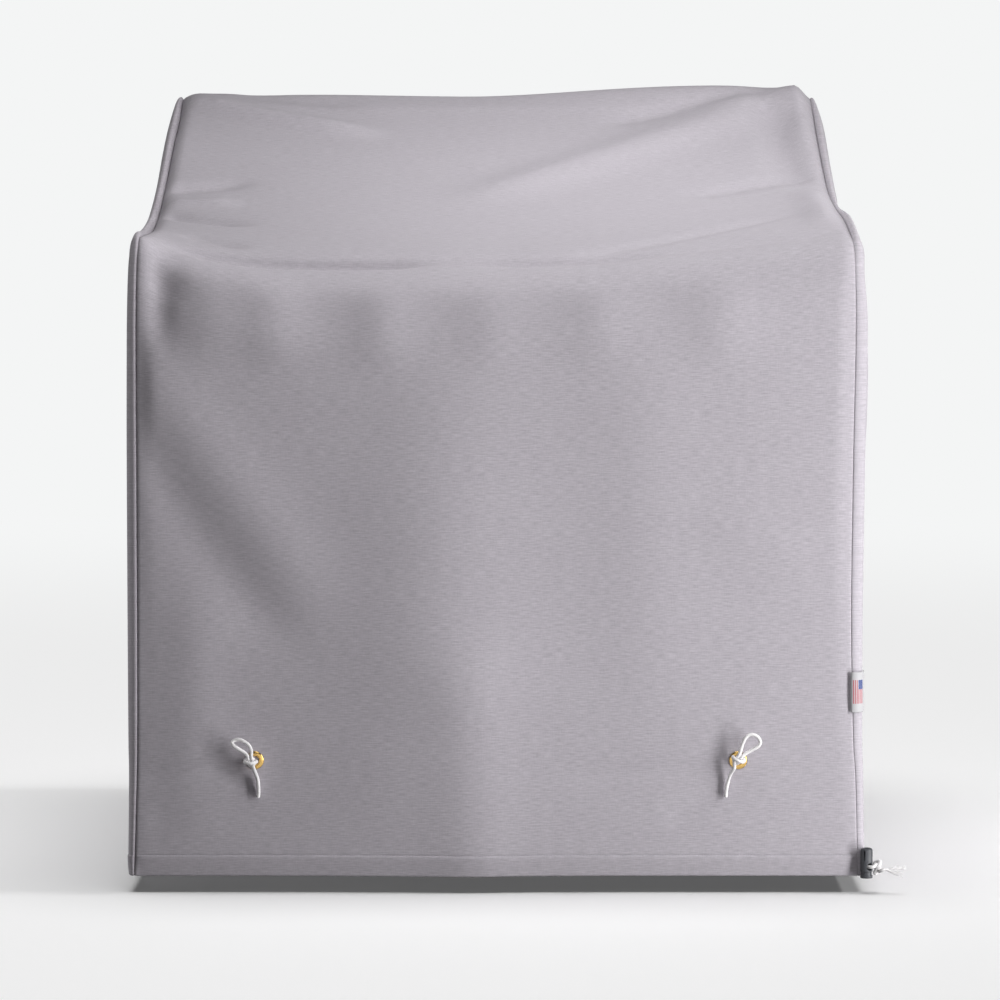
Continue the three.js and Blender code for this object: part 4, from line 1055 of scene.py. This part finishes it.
FLOOR_HEIGHT = -0.8532
bpy.ops.mesh.primitive_circle_add(
    vertices=96, radius=40, fill_type="NGON", location=(0, 0, FLOOR_HEIGHT)
)
floor = bpy.context.object
floor.name = "studio_floor"
floor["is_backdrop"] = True
floor.visible_diffuse = False
floor.visible_shadow = False
finish, tree, shader = new_finish("pale studio paper")
set_inputs(shader, {
    "Base Color": "#F4F4F4", "Roughness": 0.9, "Specular IOR Level": 0,
    "Emission Color": "#F4F5F5", "Emission Strength": 0.105,
})
backdrop = add_node(tree, "Emission", {"Color": "#F4F5F5"})
place = add_node(tree, "TexCoord").outputs["Object"]
away = add_node(tree, "VectorMath", {0: place}, operation="LENGTH")
fading = add_node(
    tree, "MapRange", {"Value": away, "From Min": 1.6, "From Max": 4.5},
    interpolation_type="SMOOTHSTEP",
)
blend = add_node(tree, "MixShader", {0: fading, 1: shader, 2: backdrop})
set_inputs(tree.nodes["Material Output"], {"Surface": blend})
floor.data.materials.append(finish)


def add_lamp(kind, name, place, target, power):
    bpy.ops.object.light_add(type=kind, location=place)
    lamp = bpy.context.object
    lamp.name = name
    lamp.data.energy = power
    lamp.rotation_euler = (Vector(target) - Vector(place)).to_track_quat("-Z", "Y").to_euler()
    return lamp


no_floor = bpy.data.collections.new("everything but the floor")
no_floor.objects.link(floor)
no_floor.collection_objects[0].light_linking.link_state = "EXCLUDE"
# The place of a softbox, what it points at, its width and height, and its watts.
for name, place, target, size, power in (
    ("side strip", (1.4, -1.5, -0.58), (0, -0.8, -0.58), (0.3, 2.1), 32.5),
    ("slope light", (0.15, -0.45, 0.6), (0, -0.4, -0.1), (0.3, 0.8), 4.6),
    ("slope side light", (0.75, -0.4, 0.35), (0, -0.4, -0.1), (0.3, 0.8), 0.9),
    ("front top light", (0.1, -1.3, 0.6), (0, -0.5, -0.1), (0.5, 0.5), 5.4),
    ("floor bounce", (0.15, -1.35, -0.62), (0.1, -0.8, -0.6), (0.8, 0.3), 0.85),
    ("right side light", (1.6, -0.55, -0.45), (0.39, -0.5, -0.45), (0.6, 1.2), 3.5),
    ("back light", (-0.6, 2.3, -0.25), (0, 0.05, -0.45), (1, 0.8), 34),
    ("left side bounce", (-1.6, -0.6, -0.7), (-0.39, -0.5, -0.5), (0.6, 0.8), 7),
):
    lamp = add_lamp("AREA", name, place, target, power)
    lamp.data.shape = "RECTANGLE"
    lamp.data.size, lamp.data.size_y = size
    lamp.visible_camera = False
    lamp.light_linking.receiver_collection = no_floor

floor_only = bpy.data.collections.new("floor only")
floor_only.objects.link(floor)
# The direction of a sun, its strength and its spread in degrees.
for name, direction, strength, spread in (
    ("from the right on the floor", (-1, 0.02, -0.84), 0.62, 6),
    ("from above on the floor", (0, 0, -1), 2.1, 40),
):
    lamp = add_lamp("SUN", name, (0, 0, 0), direction, strength)
    lamp.data.angle = math.radians(spread)
    lamp.light_linking.receiver_collection = floor_only

world = bpy.data.worlds.new("studio")
bpy.context.scene.world = world
world.use_nodes = True
tree = world.node_tree
seen = tree.nodes["Background"]
set_inputs(seen, {"Color": "#F4F5F5"})
ambient = add_node(tree, "Background", {"Color": "#FFFFFF", "Strength": 0.02})
ray = add_node(tree, "LightPath").outputs["Is Camera Ray"]
blend = add_node(tree, "MixShader", {0: ray, 1: ambient, 2: seen})
set_inputs(tree.nodes["World Output"], {"Surface": blend})
bpy.context.scene.view_settings.view_transform = "Standard"

low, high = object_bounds()
